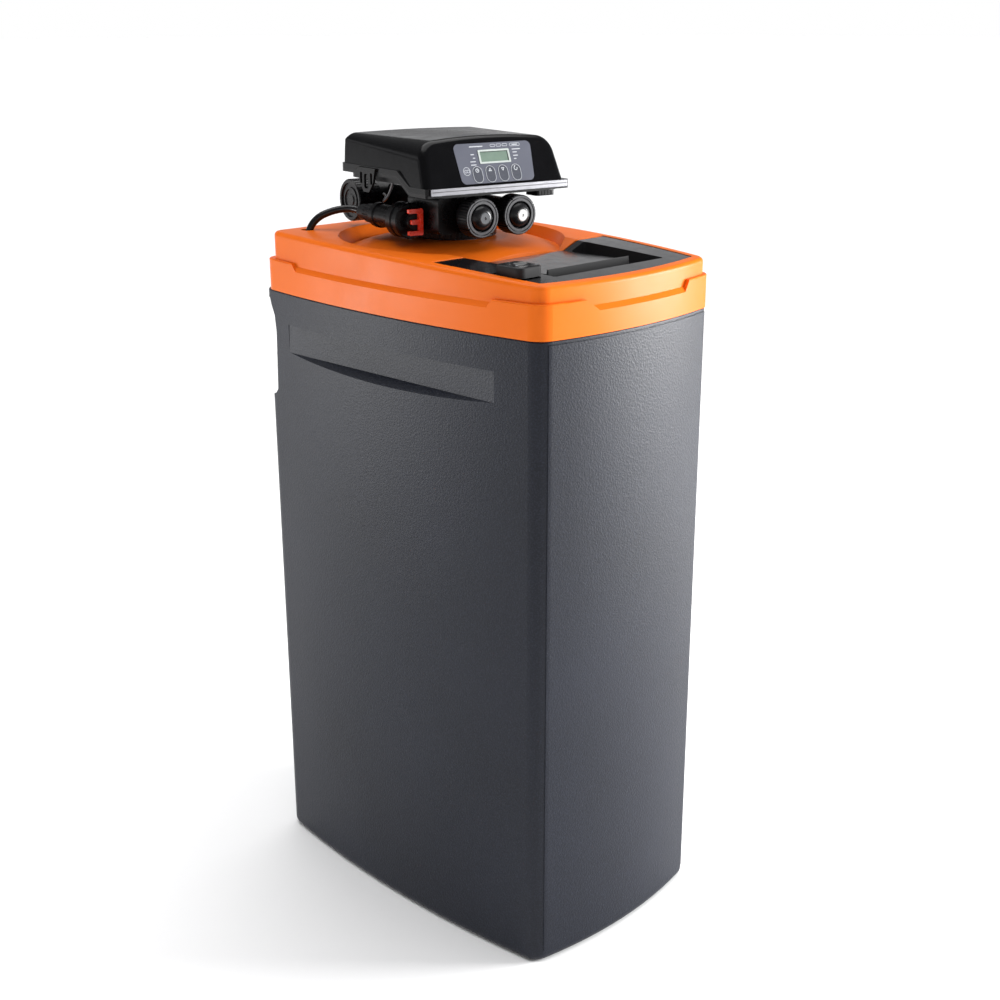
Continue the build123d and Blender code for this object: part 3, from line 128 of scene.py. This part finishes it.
def remap(nt, src, lo, hi, a=0.3, b=0.7):
    m = nt.nodes.new("ShaderNodeMapRange")
    m.inputs["From Min"].default_value = a
    m.inputs["From Max"].default_value = b
    m.inputs["To Min"].default_value = lo
    m.inputs["To Max"].default_value = hi
    nt.links.new(src, m.inputs["Value"])
    return m.outputs["Result"]


def mix(nt, fac, c1, c2):
    m = nt.nodes.new("ShaderNodeMix")
    m.data_type = "RGBA"
    for sock, val in ((m.inputs[0], fac), (m.inputs[6], c1), (m.inputs[7], c2)):
        if isinstance(val, bpy.types.NodeSocket):
            nt.links.new(val, sock)
        elif isinstance(val, (int, float)):
            sock.default_value = val
        else:
            sock.default_value = (*val[:3], 1.0)
    return m.outputs[2]


def bump(nt, b, height, strength, distance, prev=None):
    n = nt.nodes.new("ShaderNodeBump")
    n.inputs["Strength"].default_value = strength
    n.inputs["Distance"].default_value = distance
    nt.links.new(height, n.inputs["Height"])
    if prev is not None:
        nt.links.new(prev.outputs["Normal"], n.inputs["Normal"])
    nt.links.new(n.outputs["Normal"], b.inputs["Normal"])
    return n


def math_node(nt, op, a, b=0.0):
    m = nt.nodes.new("ShaderNodeMath")
    m.operation = op
    for sock, val in ((m.inputs[0], a), (m.inputs[1], b)):
        if isinstance(val, bpy.types.NodeSocket):
            nt.links.new(val, sock)
        else:
            sock.default_value = val
    return m.outputs[0]


def facing(nt, direction, a=0.9, b=0.97):
    """1 where the surface faces a direction of the part's own frame."""
    tc = nt.nodes.new("ShaderNodeTexCoord")
    d = nt.nodes.new("ShaderNodeVectorMath")
    d.operation = "DOT_PRODUCT"
    nt.links.new(tc.outputs["Normal"], d.inputs[0])
    d.inputs[1].default_value = tuple(direction)
    return remap(nt, d.outputs["Value"], 0.0, 1.0, a, b)


def plastic(name, base, rough, var=0.10, var_scale=22.0, rough_var=0.06, fine=0.0, fine_scale=900.0, coat=0.0, coat_rough=0.08,
            dust=None, spec=0.5, metal=0.0):
    """Moulded plastic: cloudy tone, uneven gloss, fine moulding texture, a little dust on top faces."""
    m, nt, b, tc = tree(name)
    cloud = noise(nt, tc, var_scale, 4.0, 0.55)
    lo = [c * (1 - var) for c in base]
    hi = [min(1.0, c * (1 + var)) for c in base]
    col = mix(nt, remap(nt, cloud, 0.0, 1.0), lo, hi)
    if dust:
        top = facing(nt, (0, 0, 1), 0.55, 1.0)
        speck = remap(nt, noise(nt, tc, 260.0, 5.0, 0.7), 0.0, 1.0, 0.52, 0.75)
        col = mix(nt, math_node(nt, "MULTIPLY", math_node(nt, "MULTIPLY", top, speck), dust), col, (0.55, 0.54, 0.52))
    nt.links.new(col, b.inputs["Base Color"])
    smear = noise(nt, tc, var_scale * 3.1, 5.0, 0.6)
    nt.links.new(remap(nt, smear, max(rough - rough_var, 0.02), rough + rough_var), b.inputs["Roughness"])
    prev = None
    if fine:
        prev = bump(nt, b, noise(nt, tc, fine_scale, 2.0, 0.5), fine, 0.0004)
    bump(nt, b, noise(nt, tc, 9.0, 2.0, 0.4), 0.03, 0.004, prev)
    b.inputs["Coat Weight"].default_value = coat
    b.inputs["Coat Roughness"].default_value = coat_rough
    b.inputs["Specular IOR Level"].default_value = spec
    b.inputs["Metallic"].default_value = metal
    return m


def pebble(name, base, rough):
    """Blow-moulded cabinet: fine leather-like pebble grain with bright specks painted in as glints."""
    m, nt, b, tc = tree(name)
    v = nt.nodes.new("ShaderNodeTexVoronoi")
    v.feature = "SMOOTH_F1"
    v.inputs["Scale"].default_value = 420.0
    v.inputs["Smoothness"].default_value = 0.6
    v.inputs["Randomness"].default_value = 1.0
    nt.links.new(tc.outputs["Object"], v.inputs["Vector"])
    grain = v.outputs["Distance"]
    fine = noise(nt, tc, 1100.0, 3.0, 0.6)
    cloud = noise(nt, tc, 5.0, 3.0, 0.5)
    speck = remap(nt, noise(nt, tc, 520.0, 2.0, 0.5), 0.0, 1.0, 0.46, 0.68)
    lo = [c * 0.82 for c in base]
    hi = [c * 1.16 for c in base]
    col = mix(nt, remap(nt, cloud, 0.0, 1.0), lo, hi)
    # bright specks lift the colour at random spots: painted glints of the grain
    col = mix(nt, math_node(nt, "MULTIPLY", speck, 0.5), col, [c * 2.1 for c in base])
    nt.links.new(col, b.inputs["Base Color"])
    nt.links.new(remap(nt, fine, rough - 0.09, rough + 0.09), b.inputs["Roughness"])
    n1 = bump(nt, b, grain, 0.35, 0.0006)
    bump(nt, b, fine, 0.18, 0.0004, n1)
    b.inputs["Specular IOR Level"].default_value = 0.22
    return m


def brushed(name, base, rough, metal=1.0, along=(1, 1, 60)):
    m, nt, b, tc = tree(name)
    lines = noise(nt, tc, 60.0, 4.0, 0.6, stretch=along)
    nt.links.new(mix(nt, remap(nt, lines, 0.0, 1.0), [c * 0.85 for c in base], [min(1, c * 1.1) for c in base]), b.inputs["Base Color"])
    nt.links.new(remap(nt, lines, rough - 0.06, rough + 0.1), b.inputs["Roughness"])
    bump(nt, b, lines, 0.12, 0.0003)
    b.inputs["Metallic"].default_value = metal
    return m


def side_highlight_tone(name, base, face, direction, rough):
    """Dark plastic whose faces on one side are painted paler: a painted highlight on that side."""
    m, nt, b, tc = tree(name)
    cloud = remap(nt, noise(nt, tc, 60.0, 4.0, 0.6), 0.0, 1.0)
    dark = mix(nt, cloud, [c * 0.85 for c in base], [c * 1.2 for c in base])
    pale = mix(nt, remap(nt, noise(nt, tc, 420.0, 4.0, 0.6), 0.0, 1.0), [c * 0.72 for c in face], [c * 1.15 for c in face])
    nt.links.new(mix(nt, facing(nt, direction, 0.80, 0.95), dark, pale), b.inputs["Base Color"])
    nt.links.new(remap(nt, noise(nt, tc, 300.0, 3.0, 0.5), rough - 0.07, rough + 0.07), b.inputs["Roughness"])
    bump(nt, b, noise(nt, tc, 800.0, 2.0, 0.5), 0.12, 0.0004)
    b.inputs["Specular IOR Level"].default_value = 0.22
    return m


FRONT = (-YV.x, -YV.y, 0.0)
LEFT = (-XV.x, -XV.y, 0.0)
M = {
    "cabinet": pebble("cabinet_grain", (0.0100, 0.0118, 0.0190), 0.42),
    "lid": plastic("lid_orange", (0.80, 0.150, 0.009), 0.33, var=0.04, var_scale=7.0, rough_var=0.04, fine=0.04, spec=0.11),
    "hatch": plastic("hatch_black", (0.007, 0.007, 0.008), 0.17, rough_var=0.03, fine=0.03, spec=0.34),
    "hood": plastic("hood_black", (0.0030, 0.0030, 0.0036), 0.19, var_scale=14.0, rough_var=0.04, fine=0.02, dust=0.015, spec=0.16),
    "tray": plastic("tray_black", (0.004, 0.004, 0.0045), 0.34, fine=0.10, spec=0.16),
    "valve": plastic("valve_black", (0.004, 0.004, 0.0045), 0.30, fine=0.14, rough_var=0.08, spec=0.18),
    # faces of the nuts that point to the front are painted paler: painted highlight
    "nut": side_highlight_tone("nut_front_highlight", (0.005, 0.005, 0.006), (0.085, 0.085, 0.090), FRONT, 0.36),
    "plug": plastic("plug_black", (0.008, 0.008, 0.009), 0.26, fine=0.06, rough_var=0.05, spec=0.3),
    # the grey disc is the same plug as the white disc with its colour darkened: painted shade
    "disc_grey": plastic("disc_grey", (0.085, 0.090, 0.098), 0.42, fine=0.08, spec=0.3),
    "disc_white": plastic("disc_white", (0.62, 0.62, 0.61), 0.38, fine=0.05),
    "panel": plastic("panel_film", (0.098, 0.103, 0.130), 0.42, var=0.05, fine=0.10, fine_scale=1500.0, spec=0.25),
    "lcd_frame": plastic("lcd_border", (0.44, 0.48, 0.46), 0.40, var=0.04, spec=0.3),
    "lcd": plastic("lcd_window", (0.155, 0.212, 0.172), 0.14, var=0.10, var_scale=60.0, spec=0.35),
    "key": plastic("key_film", (0.052, 0.056, 0.072), 0.45, var=0.20, var_scale=700.0, fine=0.25, fine_scale=1400.0, spec=0.3),
    "trim": brushed("trim_silver", (0.21, 0.21, 0.225), 0.32, 0.85, (1, 1, 40)),
    "clip_red": plastic("clip_red", (0.72, 0.050, 0.022), 0.28, fine=0.05, coat=0.2),
    "tube": plastic("tube_black", (0.007, 0.007, 0.008), 0.24, fine=0.05, rough_var=0.05, spec=0.3),
    "wire": plastic("wire_grey", (0.10, 0.10, 0.105), 0.42, fine=0.12),
    "steel": brushed("steel", (0.62, 0.62, 0.63), 0.26),
    "brass": brushed("brass", (0.80, 0.58, 0.26), 0.24),
    "seal": plastic("seal_rubber", (0.015, 0.015, 0.015), 0.65, fine=0.2),
    "vessel": brushed("vessel_wound", (0.13, 0.14, 0.15), 0.42, 0.0, (1, 1, 8)),
    "natural": plastic("natural_plastic", (0.74, 0.74, 0.69), 0.42, var=0.05, fine=0.06),
    "resin": plastic("resin_beads", (0.36, 0.17, 0.045), 0.45, var=0.35, var_scale=900.0, fine=0.8, fine_scale=1300.0),
    "ceramic": plastic("ceramic_disc", (0.80, 0.79, 0.75), 0.14, var=0.03, coat=0.3),
    "gear": plastic("gear_acetal", (0.72, 0.71, 0.66), 0.36, var=0.05, fine=0.05),
    "board": plastic("board_green", (0.012, 0.105, 0.040), 0.34, var=0.2, var_scale=260.0, fine=0.1),
}
M["print"] = plastic("print_white", (0.50, 0.52, 0.55), 0.45, var=0.08, var_scale=400.0, spec=0.3)
# black for the dark joint in the trim and for the painted shadow strips inside the window
M["dark_gap"] = plastic("gap_and_shadow_black", (0.006, 0.006, 0.007), 0.40)
# faces of the meter cap that point to the left are painted paler: painted highlight
M["meter"] = side_highlight_tone("meter_left_highlight", (0.005, 0.005, 0.006), (0.011, 0.011, 0.012), LEFT, 0.30)
M["chip"] = plastic("chip_black", (0.02, 0.02, 0.022), 0.40, fine=0.2)
M["clear"] = plastic("trim_cap", (0.62, 0.63, 0.66), 0.14, coat=0.4)



def dull_sides(m, side):
    """Polished top faces, duller upright faces."""
    nt = m.node_tree
    b = next(n for n in nt.nodes if n.type == "BSDF_PRINCIPLED")
    rough = b.inputs["Roughness"].links[0].from_socket
    mx = nt.nodes.new("ShaderNodeMix")
    mx.data_type = "FLOAT"
    nt.links.new(facing(nt, (0, 0, 1), 0.55, 0.85), mx.inputs[0])
    mx.inputs[2].default_value = side
    nt.links.new(rough, mx.inputs[3])
    nt.links.new(mx.outputs[0], b.inputs["Roughness"])


dull_sides(M["hatch"], 0.72)

record = frame["record"]
slot_of = {}
for sp in record["subparts"]:
    slot_of[sp["node"]] = sp["material_slot"]
SPECIAL = {"meter_cap": "meter"}
for n, o in nodes.items():
    mat = M[SPECIAL.get(n, slot_of[n])]
    o.data.materials.clear()
    o.data.materials.append(mat)

# ---------------------------------------------------------------- geometry kit


def add_mesh(name, verts, faces, mat, body, smooth=False):
    me = bpy.data.meshes.new(name)
    me.from_pydata([tuple(v) for v in verts], [], faces)
    me.update()
    bm = bmesh.new()
    bm.from_mesh(me)
    bmesh.ops.remove_doubles(bm, verts=bm.verts, dist=1e-7)
    bmesh.ops.recalc_face_normals(bm, faces=bm.faces)
    bm.to_mesh(me)
    bm.free()
    if smooth:
        me.shade_smooth()
        me.set_sharp_from_angle(angle=math.radians(35))
    me.materials.append(mat)
    o = bpy.data.objects.new(name, me)
    scene.collection.objects.link(o)
    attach(o, body)
    return o


def bevel(o, width, segments=2, angle=30):
    b = o.modifiers.new("edge", "BEVEL")
    b.width = width / 1000
    b.segments = segments
    b.limit_method = "ANGLE"
    b.angle_limit = math.radians(angle)
    b.harden_normals = False
    return o


def prism(name, outline, place, lo, hi, mat, body, bev=0.25, taper=0.0):
    """Closed plate from a 2D outline; place(x, y, height) gives the point."""
    cx = sum(p[0] for p in outline) / len(outline)
    cy = sum(p[1] for p in outline) / len(outline)
    n = len(outline)
    bottom = [place(x, y, lo) for x, y in outline]
    top = [place(cx + (x - cx) * (1 - taper), cy + (y - cy) * (1 - taper), hi) for x, y in outline]
    faces = [tuple(range(n))[::-1], tuple(range(n, 2 * n))]
    faces += [(i, (i + 1) % n, n + (i + 1) % n, n + i) for i in range(n)]
    o = add_mesh(name, bottom + top, faces, mat, body)
    if bev:
        bevel(o, bev)
    return o


def ring_plate(name, outer, inner, place, lo, hi, mat, body, bev=0.0):
    """Flat ring between two outlines with the same number of points."""
    n = len(outer)
    vs = [place(x, y, lo) for x, y in outer] + [place(x, y, lo) for x, y in inner]
    vs += [place(x, y, hi) for x, y in outer] + [place(x, y, hi) for x, y in inner]
    faces = []
    for i in range(n):
        j = (i + 1) % n
        faces.append((i, n + i, n + j, j))
        faces.append((2 * n + i, 2 * n + j, 3 * n + j, 3 * n + i))
        faces.append((i, j, 2 * n + j, 2 * n + i))
        faces.append((n + i, 3 * n + i, 3 * n + j, n + j))
    o = add_mesh(name, vs, faces, mat, body)
    if bev:
        bevel(o, bev)
    return o


def oval(cx, cy, w, h, n=48):
    """Slot outline, long way up."""
    r = w / 2
    d = h / 2 - r
    pts = []
    for i in range(n):
        a = 2 * math.pi * i / n
        pts.append((cx + r * math.cos(a), cy + r * math.sin(a) + (d if math.sin(a) >= 0 else -d)))
    return pts


def circle(cx, cy, r, n=40, start=0.0):
    return [(cx + r * math.cos(start + 2 * math.pi * i / n), cy + r * math.sin(start + 2 * math.pi * i / n)) for i in range(n)]


def rrect(cx, cy, w, h, r, n=6):
    pts = []
    for sx, sy, a0 in ((1, 1, 0), (-1, 1, 90), (-1, -1, 180), (1, -1, 270)):
        for i in range(n + 1):
            a = math.radians(a0 + 90 * i / n)
            pts.append((cx + sx * (w / 2 - r) + r * math.cos(a), cy + sy * (h / 2 - r) + r * math.sin(a)))
    return pts


def shrink(poly, d):
    """Outline moved in by d along its corner bisectors (convex, counter-clockwise)."""
    out = []
    n = len(poly)
    for i in range(n):
        a, b, c = Vector(poly[i - 1]), Vector(poly[i]), Vector(poly[(i + 1) % n])
        e1, e2 = (b - a).normalized(), (c - b).normalized()
        n1, n2 = Vector((-e1.y, e1.x)), Vector((-e2.y, e2.x))
        k = n1 + n2
        out.append(tuple(b + k * (d / max(k.dot(n1), 1e-6))))
    return out


def lathe(name, origin, axis, profile, mat, body, slot=None, n=72, bev=0.0, smooth=True):
    """Closed profile (along, radius) in millimetres turned about an axis through a row point."""
    ax = Vector(axis).normalized()
    side = ax.orthogonal().normalized()
    other = ax.cross(side)
    vs, faces = [], []
    m = len(profile)
    for i in range(n):
        a = 2 * math.pi * i / n
        d = side * math.cos(a) + other * math.sin(a)
        for al, r in profile:
            vs.append(Vector(origin) + ax * (al / 1000) + d * (r / 1000))
    for i in range(n):
        j = (i + 1) % n
        for k in range(m):
            l = (k + 1) % m
            faces.append((i * m + k, i * m + l, j * m + l, j * m + k))
    o = add_mesh(name, vs, faces, mat, body, smooth=smooth)
    if bev:
        bevel(o, bev)
    return o


def hexagon(name, place, cx, cy, r, lo, hi, mat, body, slot=None):
    return prism(name, circle(cx, cy, r, 6), place, lo, hi, mat, body, bev=0.35)


def face_place(x, y, h):
    return F(x, y, h)


def level_place(x, y, h):
    return W(x, y, h)


def row_place(x, y, h):
    return R(x, y, h)


def front_place(x, y, h):
    """x is u, y is z, height counts to the front."""
    return W(x, -h, y)


def left_place(x, y, h):
    """x is v, y is z, height counts to the left."""
    return W(-h, x, y)


def right_place(x, y, h):
    return W(h, x, y)


# ----------------------------------------------------------------------- cords
LINE_PTS = [W(-86, 48, 912), W(-86, 66, 912), W(-86.2, 87, 912.3), W(-91.5, 107, 914.5), W(-106, 123, 911.5), W(-124, 135, 903.5),
            W(-136.2, 140.2, 888.5), R(-112.1, 205.9, 868), R(-112.1, 205.9, 846), R(-111.8, 206.2, 808), R(-112.2, 206.1, 750),
            R(-112.0, 206.0, 696), R(-112.0, 206.0, 642)]
CABLE_PTS = [W(-38.5, 112, 929), W(-41, 99, 927.5), W(-51, 87, 925.5), W(-61, 73.5, 924.5), W(-69, 58, 926.5),
             W(-73, 43, 933), W(-73.5, 32, 944), W(-73, 26, 958.5)]


def cord_curve(name, pts, radius, mat, body):
    cu = bpy.data.curves.new(name, "CURVE")
    cu.dimensions = "3D"
    sp = cu.splines.new("NURBS")
    sp.points.add(len(pts) - 1)
    for p, q in zip(sp.points, pts):
        p.co = (*q, 1.0)
    sp.order_u = 3
    sp.use_endpoint_u = True
    sp.resolution_u = 10
    cu.bevel_depth = radius / 1000
    cu.bevel_resolution = 8
    cu.use_fill_caps = True
    cu.materials.append(mat)
    o = bpy.data.objects.new(name, cu)
    scene.collection.objects.link(o)
    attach(o, body)
    return o


line = cord_curve("brine_tube", LINE_PTS, 4.75, M["tube"], "cabinet")
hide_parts("brine_line")
wire = cord_curve("meter_wire", CABLE_PTS, 1.75, M["wire"], "cabinet")
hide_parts("meter_cable")

# ------------------------------------------------------------- front panel print
TRIM_BODY = "cabinet"
KEY_S = {"set": -30.5, "up": -11.5, "down": 7.5, "regen": 26.8}
KEY_T = -13.5
INK = 0.10
for tag, s in KEY_S.items():
    ring_plate("key_outline_" + tag, oval(s, KEY_T, 14.3, 20.8), oval(s, KEY_T, 13.3, 19.8), face_place, 0.79, 0.80 + INK, M["print"], tag + "_key")

T_IC = KEY_T + 5.2


def tri(cx, cy, r, up_=True):
    a0 = math.radians(90 if up_ else 270)
    return circle(cx, cy, r, 3, a0)


for tag, up_ in (("up", True), ("down", False)):
    s = KEY_S[tag]
    cy = T_IC - (0.3 if up_ else -0.3)
    ring_plate("key_icon_" + tag, tri(s, cy, 2.9, up_), tri(s, cy, 1.3, up_), face_place, 0.79, 0.80 + INK, M["print"], tag + "_key")
# clock face on the first key
s = KEY_S["set"]
ring_plate("key_icon_set", circle(s, T_IC, 2.6, 28), circle(s, T_IC, 1.8, 28), face_place, 0.79, 0.80 + INK, M["print"], "set_key")
prism("key_icon_set_hands", [(s - 0.35, T_IC + 1.9), (s - 0.35, T_IC - 0.35), (s + 1.5, T_IC - 0.35), (s + 1.5, T_IC + 0.35), (s + 0.35, T_IC + 0.35), (s + 0.35, T_IC + 1.9)],
      face_place, 0.79, 0.80 + INK, M["print"], "set_key", bev=0)
# open ring with an arrow head on the last key
s = KEY_S["regen"]
arc_o = [(s + 2.7 * math.cos(math.radians(a)), T_IC + 2.7 * math.sin(math.radians(a))) for a in range(120, 400, 14)]
arc_i = [(s + 1.8 * math.cos(math.radians(a)), T_IC + 1.8 * math.sin(math.radians(a))) for a in range(120, 400, 14)]
strip = arc_o + arc_i[::-1]
prism("key_icon_regen", strip[::-1], face_place, 0.79, 0.80 + INK, M["print"], "regen_key", bev=0)
a = math.radians(118)
hx, hy = s + 2.25 * math.cos(a), T_IC + 2.25 * math.sin(a)
prism("key_icon_regen_head", [(hx - 1.3, hy - 0.9), (hx + 1.7, hy + 0.6), (hx - 0.2, hy + 1.6)], face_place, 0.79, 0.80 + INK, M["print"], "regen_key", bev=0)
# two small rings at the left of the keys
ring_plate("lock_mark_outer", circle(-45.5, -8.6, 5.2, 36), circle(-45.5, -8.6, 4.6, 36), face_place, 0.49, 0.50 + INK, M["print"], "hood")
ring_plate("lock_mark_left", circle(-47.0, -8.6, 2.1, 24), circle(-47.0, -8.6, 1.5, 24), face_place, 0.49, 0.50 + INK, M["print"], "hood")
ring_plate("lock_mark_right", circle(-43.4, -8.6, 2.1, 24), circle(-43.4, -8.6, 1.5, 24), face_place, 0.49, 0.50 + INK, M["print"], "hood")
# plain dashes beside the window
for i, (x0, w, y) in enumerate(((-32.5, 5.0, 11.6), (-31.0, 3.4, 7.2), (-33.5, 8.0, 2.8), (-33.5, 8.0, -1.2))):
    prism("dash_left_%d" % i, rrect(x0, y, w, 1.1, 0.5, 3), face_place, 0.49, 0.50 + INK, M["print"], "hood", bev=0)
for i, (x0, w, y) in enumerate(((33.8, 12.5, 15.6), (31.0, 6.5, 11.8), (31.2, 7.0, 7.6), (29.7, 3.8, 3.6))):
    prism("dash_right_%d" % i, rrect(x0, y, w, 1.1, 0.5, 3), face_place, 0.49, 0.50 + INK, M["print"], "hood", bev=0)
prism("dash_top_left", rrect(-25.0, 21.3, 20.0, 1.2, 0.55, 3), face_place, 0.49, 0.50 + INK, M["print"], "hood", bev=0)
for i, x0 in enumerate((0.0, 9.0, 18.0)):
    ring_plate("pill_top_%d" % i, rrect(x0, 21.6, 7.6, 3.4, 1.6, 5), rrect(x0, 21.6, 6.6, 2.4, 1.15, 5), face_place, 0.49, 0.50 + INK, M["print"], "hood")
ring_plate("pill_top_right", rrect(33.0, 21.4, 15.5, 4.0, 1.9, 5), rrect(33.0, 21.4, 14.5, 3.0, 1.4, 5), face_place, 0.49, 0.50 + INK, M["print"], "hood")
prism("pill_top_bar", rrect(33.0, 21.4, 8.5, 1.1, 0.5, 3), face_place, 0.49, 0.50 + INK, M["print"], "hood", bev=0)
# dark strips along the inner edges of the window: painted shadow
prism("window_painted_shadow_right", [(18.9, 1.9), (19.9, 1.9), (19.9, 14.5), (18.9, 14.5)], face_place, 0.49, 0.56, M["dark_gap"], "hood", bev=0)
prism("window_painted_shadow_top", [(-21.3, 13.9), (18.9, 13.9), (18.9, 14.5), (-21.3, 14.5)], face_place, 0.49, 0.56, M["dark_gap"], "hood", bev=0)

# dark groove that parts the bright strip into an upper and a lower band
prism("trim_groove", [(-99.5, 953.0), (101.0, 953.0), (101.0, 953.9), (-99.5, 953.9)], front_place, 105.36, 105.46, M["dark_gap"], TRIM_BODY, bev=0)

# ----------------------------------------------------------------- hatch details
# small pointer pressed into the thumb rest
tip = [(-122 - 2.6, -187.5), (-122, -194.5), (-122 + 2.6, -187.5)]


def thumb_z(x, y):
    """Height of the hollow thumb rest."""
    c = (-122.0, -194.0, 873.8 + 12.5 + 19.5)
    d2 = (x - c[0]) ** 2 + (y - c[1]) ** 2
    return c[2] - math.sqrt(max(23.0 ** 2 - d2, 0.0))


def thumb_place(x, y, h):
    return R(x, y, thumb_z(x, y) + h)


prism("thumb_pointer", tip, thumb_place, -0.05, 0.12, M["print"], "latch", bev=0)

# ------------------------------------------------------------------------ stage
floor = bpy.data.objects.new("floor", bpy.data.meshes.new("floor"))
floor.data.from_pydata([(-100, -100, 0), (100, -100, 0), (100, 100, 0), (-100, 100, 0)], [], [(0, 1, 2, 3)])
fm, fnt, fb, ftc = tree("floor_white")
fnt.links.new(mix(fnt, remap(fnt, noise(fnt, ftc, 0.8, 2.0), 0.0, 1.0), (0.90, 0.90, 0.90), (0.93, 0.93, 0.93)), fb.inputs["Base Color"])
fb.inputs["Roughness"].default_value = 0.9
fb.inputs["Specular IOR Level"].default_value = 0.0
floor.data.materials.append(fm)
scene.collection.objects.link(floor)

world = bpy.data.worlds.new("studio")
scene.world = world
world.use_nodes = True
bg = world.node_tree.nodes["Background"]
wt = world.node_tree
wg = wt.nodes.new("ShaderNodeTexCoord")
wx = wt.nodes.new("ShaderNodeSeparateXYZ")
wt.links.new(wg.outputs["Generated"], wx.inputs["Vector"])
ramp = wt.nodes.new("ShaderNodeValToRGB")
# a white wall up to two degrees, dimmer above it, and one soft band that the flat tops mirror
els = ramp.color_ramp.elements
els[0].position, els[0].color = 0.0, (1.0, 1.0, 1.0, 1.0)
els[1].position, els[1].color = 1.0, (0.30, 0.30, 0.31, 1.0)
for pos, v in ((0.03, 1.0), (0.05, 0.13), (0.105, 0.14), (0.14, 0.72), (0.22, 0.72), (0.28, 0.12), (0.50, 0.20)):
    e = els.new(pos)
    e.color = (v, v, v * 1.02, 1.0)
wt.links.new(wx.outputs["Z"], ramp.inputs["Fac"])
# the backdrop itself is seen plain white from every side
wl = wt.nodes.new("ShaderNodeLightPath")
wm = wt.nodes.new("ShaderNodeMix")
wm.data_type = "RGBA"
wm.inputs[7].default_value = (1.0, 1.0, 1.0, 1.0)
wt.links.new(wl.outputs["Is Camera Ray"], wm.inputs[0])
wt.links.new(ramp.outputs["Color"], wm.inputs[6])
wt.links.new(wm.outputs[2], bg.inputs["Color"])
bg.inputs["Strength"].default_value = 1.0


def area(name, loc, target, sx, sy, power, color=(1, 1, 1), hidden=True):
    d = bpy.data.lights.new(name, "AREA")
    d.shape = "RECTANGLE"
    d.size, d.size_y = sx, sy
    d.energy = power
    d.color = color
    o = bpy.data.objects.new(name, d)
    o.location = loc
    o.rotation_mode = "QUATERNION"
    o.rotation_quaternion = (Vector(target) - Vector(loc)).to_track_quat("-Z", "Y")
    o.visible_camera = not hidden
    scene.collection.objects.link(o)
    return o


def sun(name, direction, strength, angle):
    d = bpy.data.lights.new(name, "SUN")
    d.energy = strength
    d.angle = math.radians(angle)
    o = bpy.data.objects.new(name, d)
    o.rotation_mode = "QUATERNION"
    o.rotation_quaternion = (-Vector(direction)).to_track_quat("-Z", "Y")
    scene.collection.objects.link(o)
    return o


# wide soft light from above, low softboxes that graze the front and the left side
sun("top_soft", (0.1, 0.15, 1.0), 2.95, 70)
area("front_box", (2.3, -1.95, 0.95), (0.1, -0.28, 0.75), 1.3, 1.3, 205.0)
area("left_box", (-1.75, 1.75, 0.42), (-0.17, 0.0, 0.72), 1.0, 0.35, 17.0)

scene.view_settings.view_transform = "Standard"
scene.view_settings.look = "None"
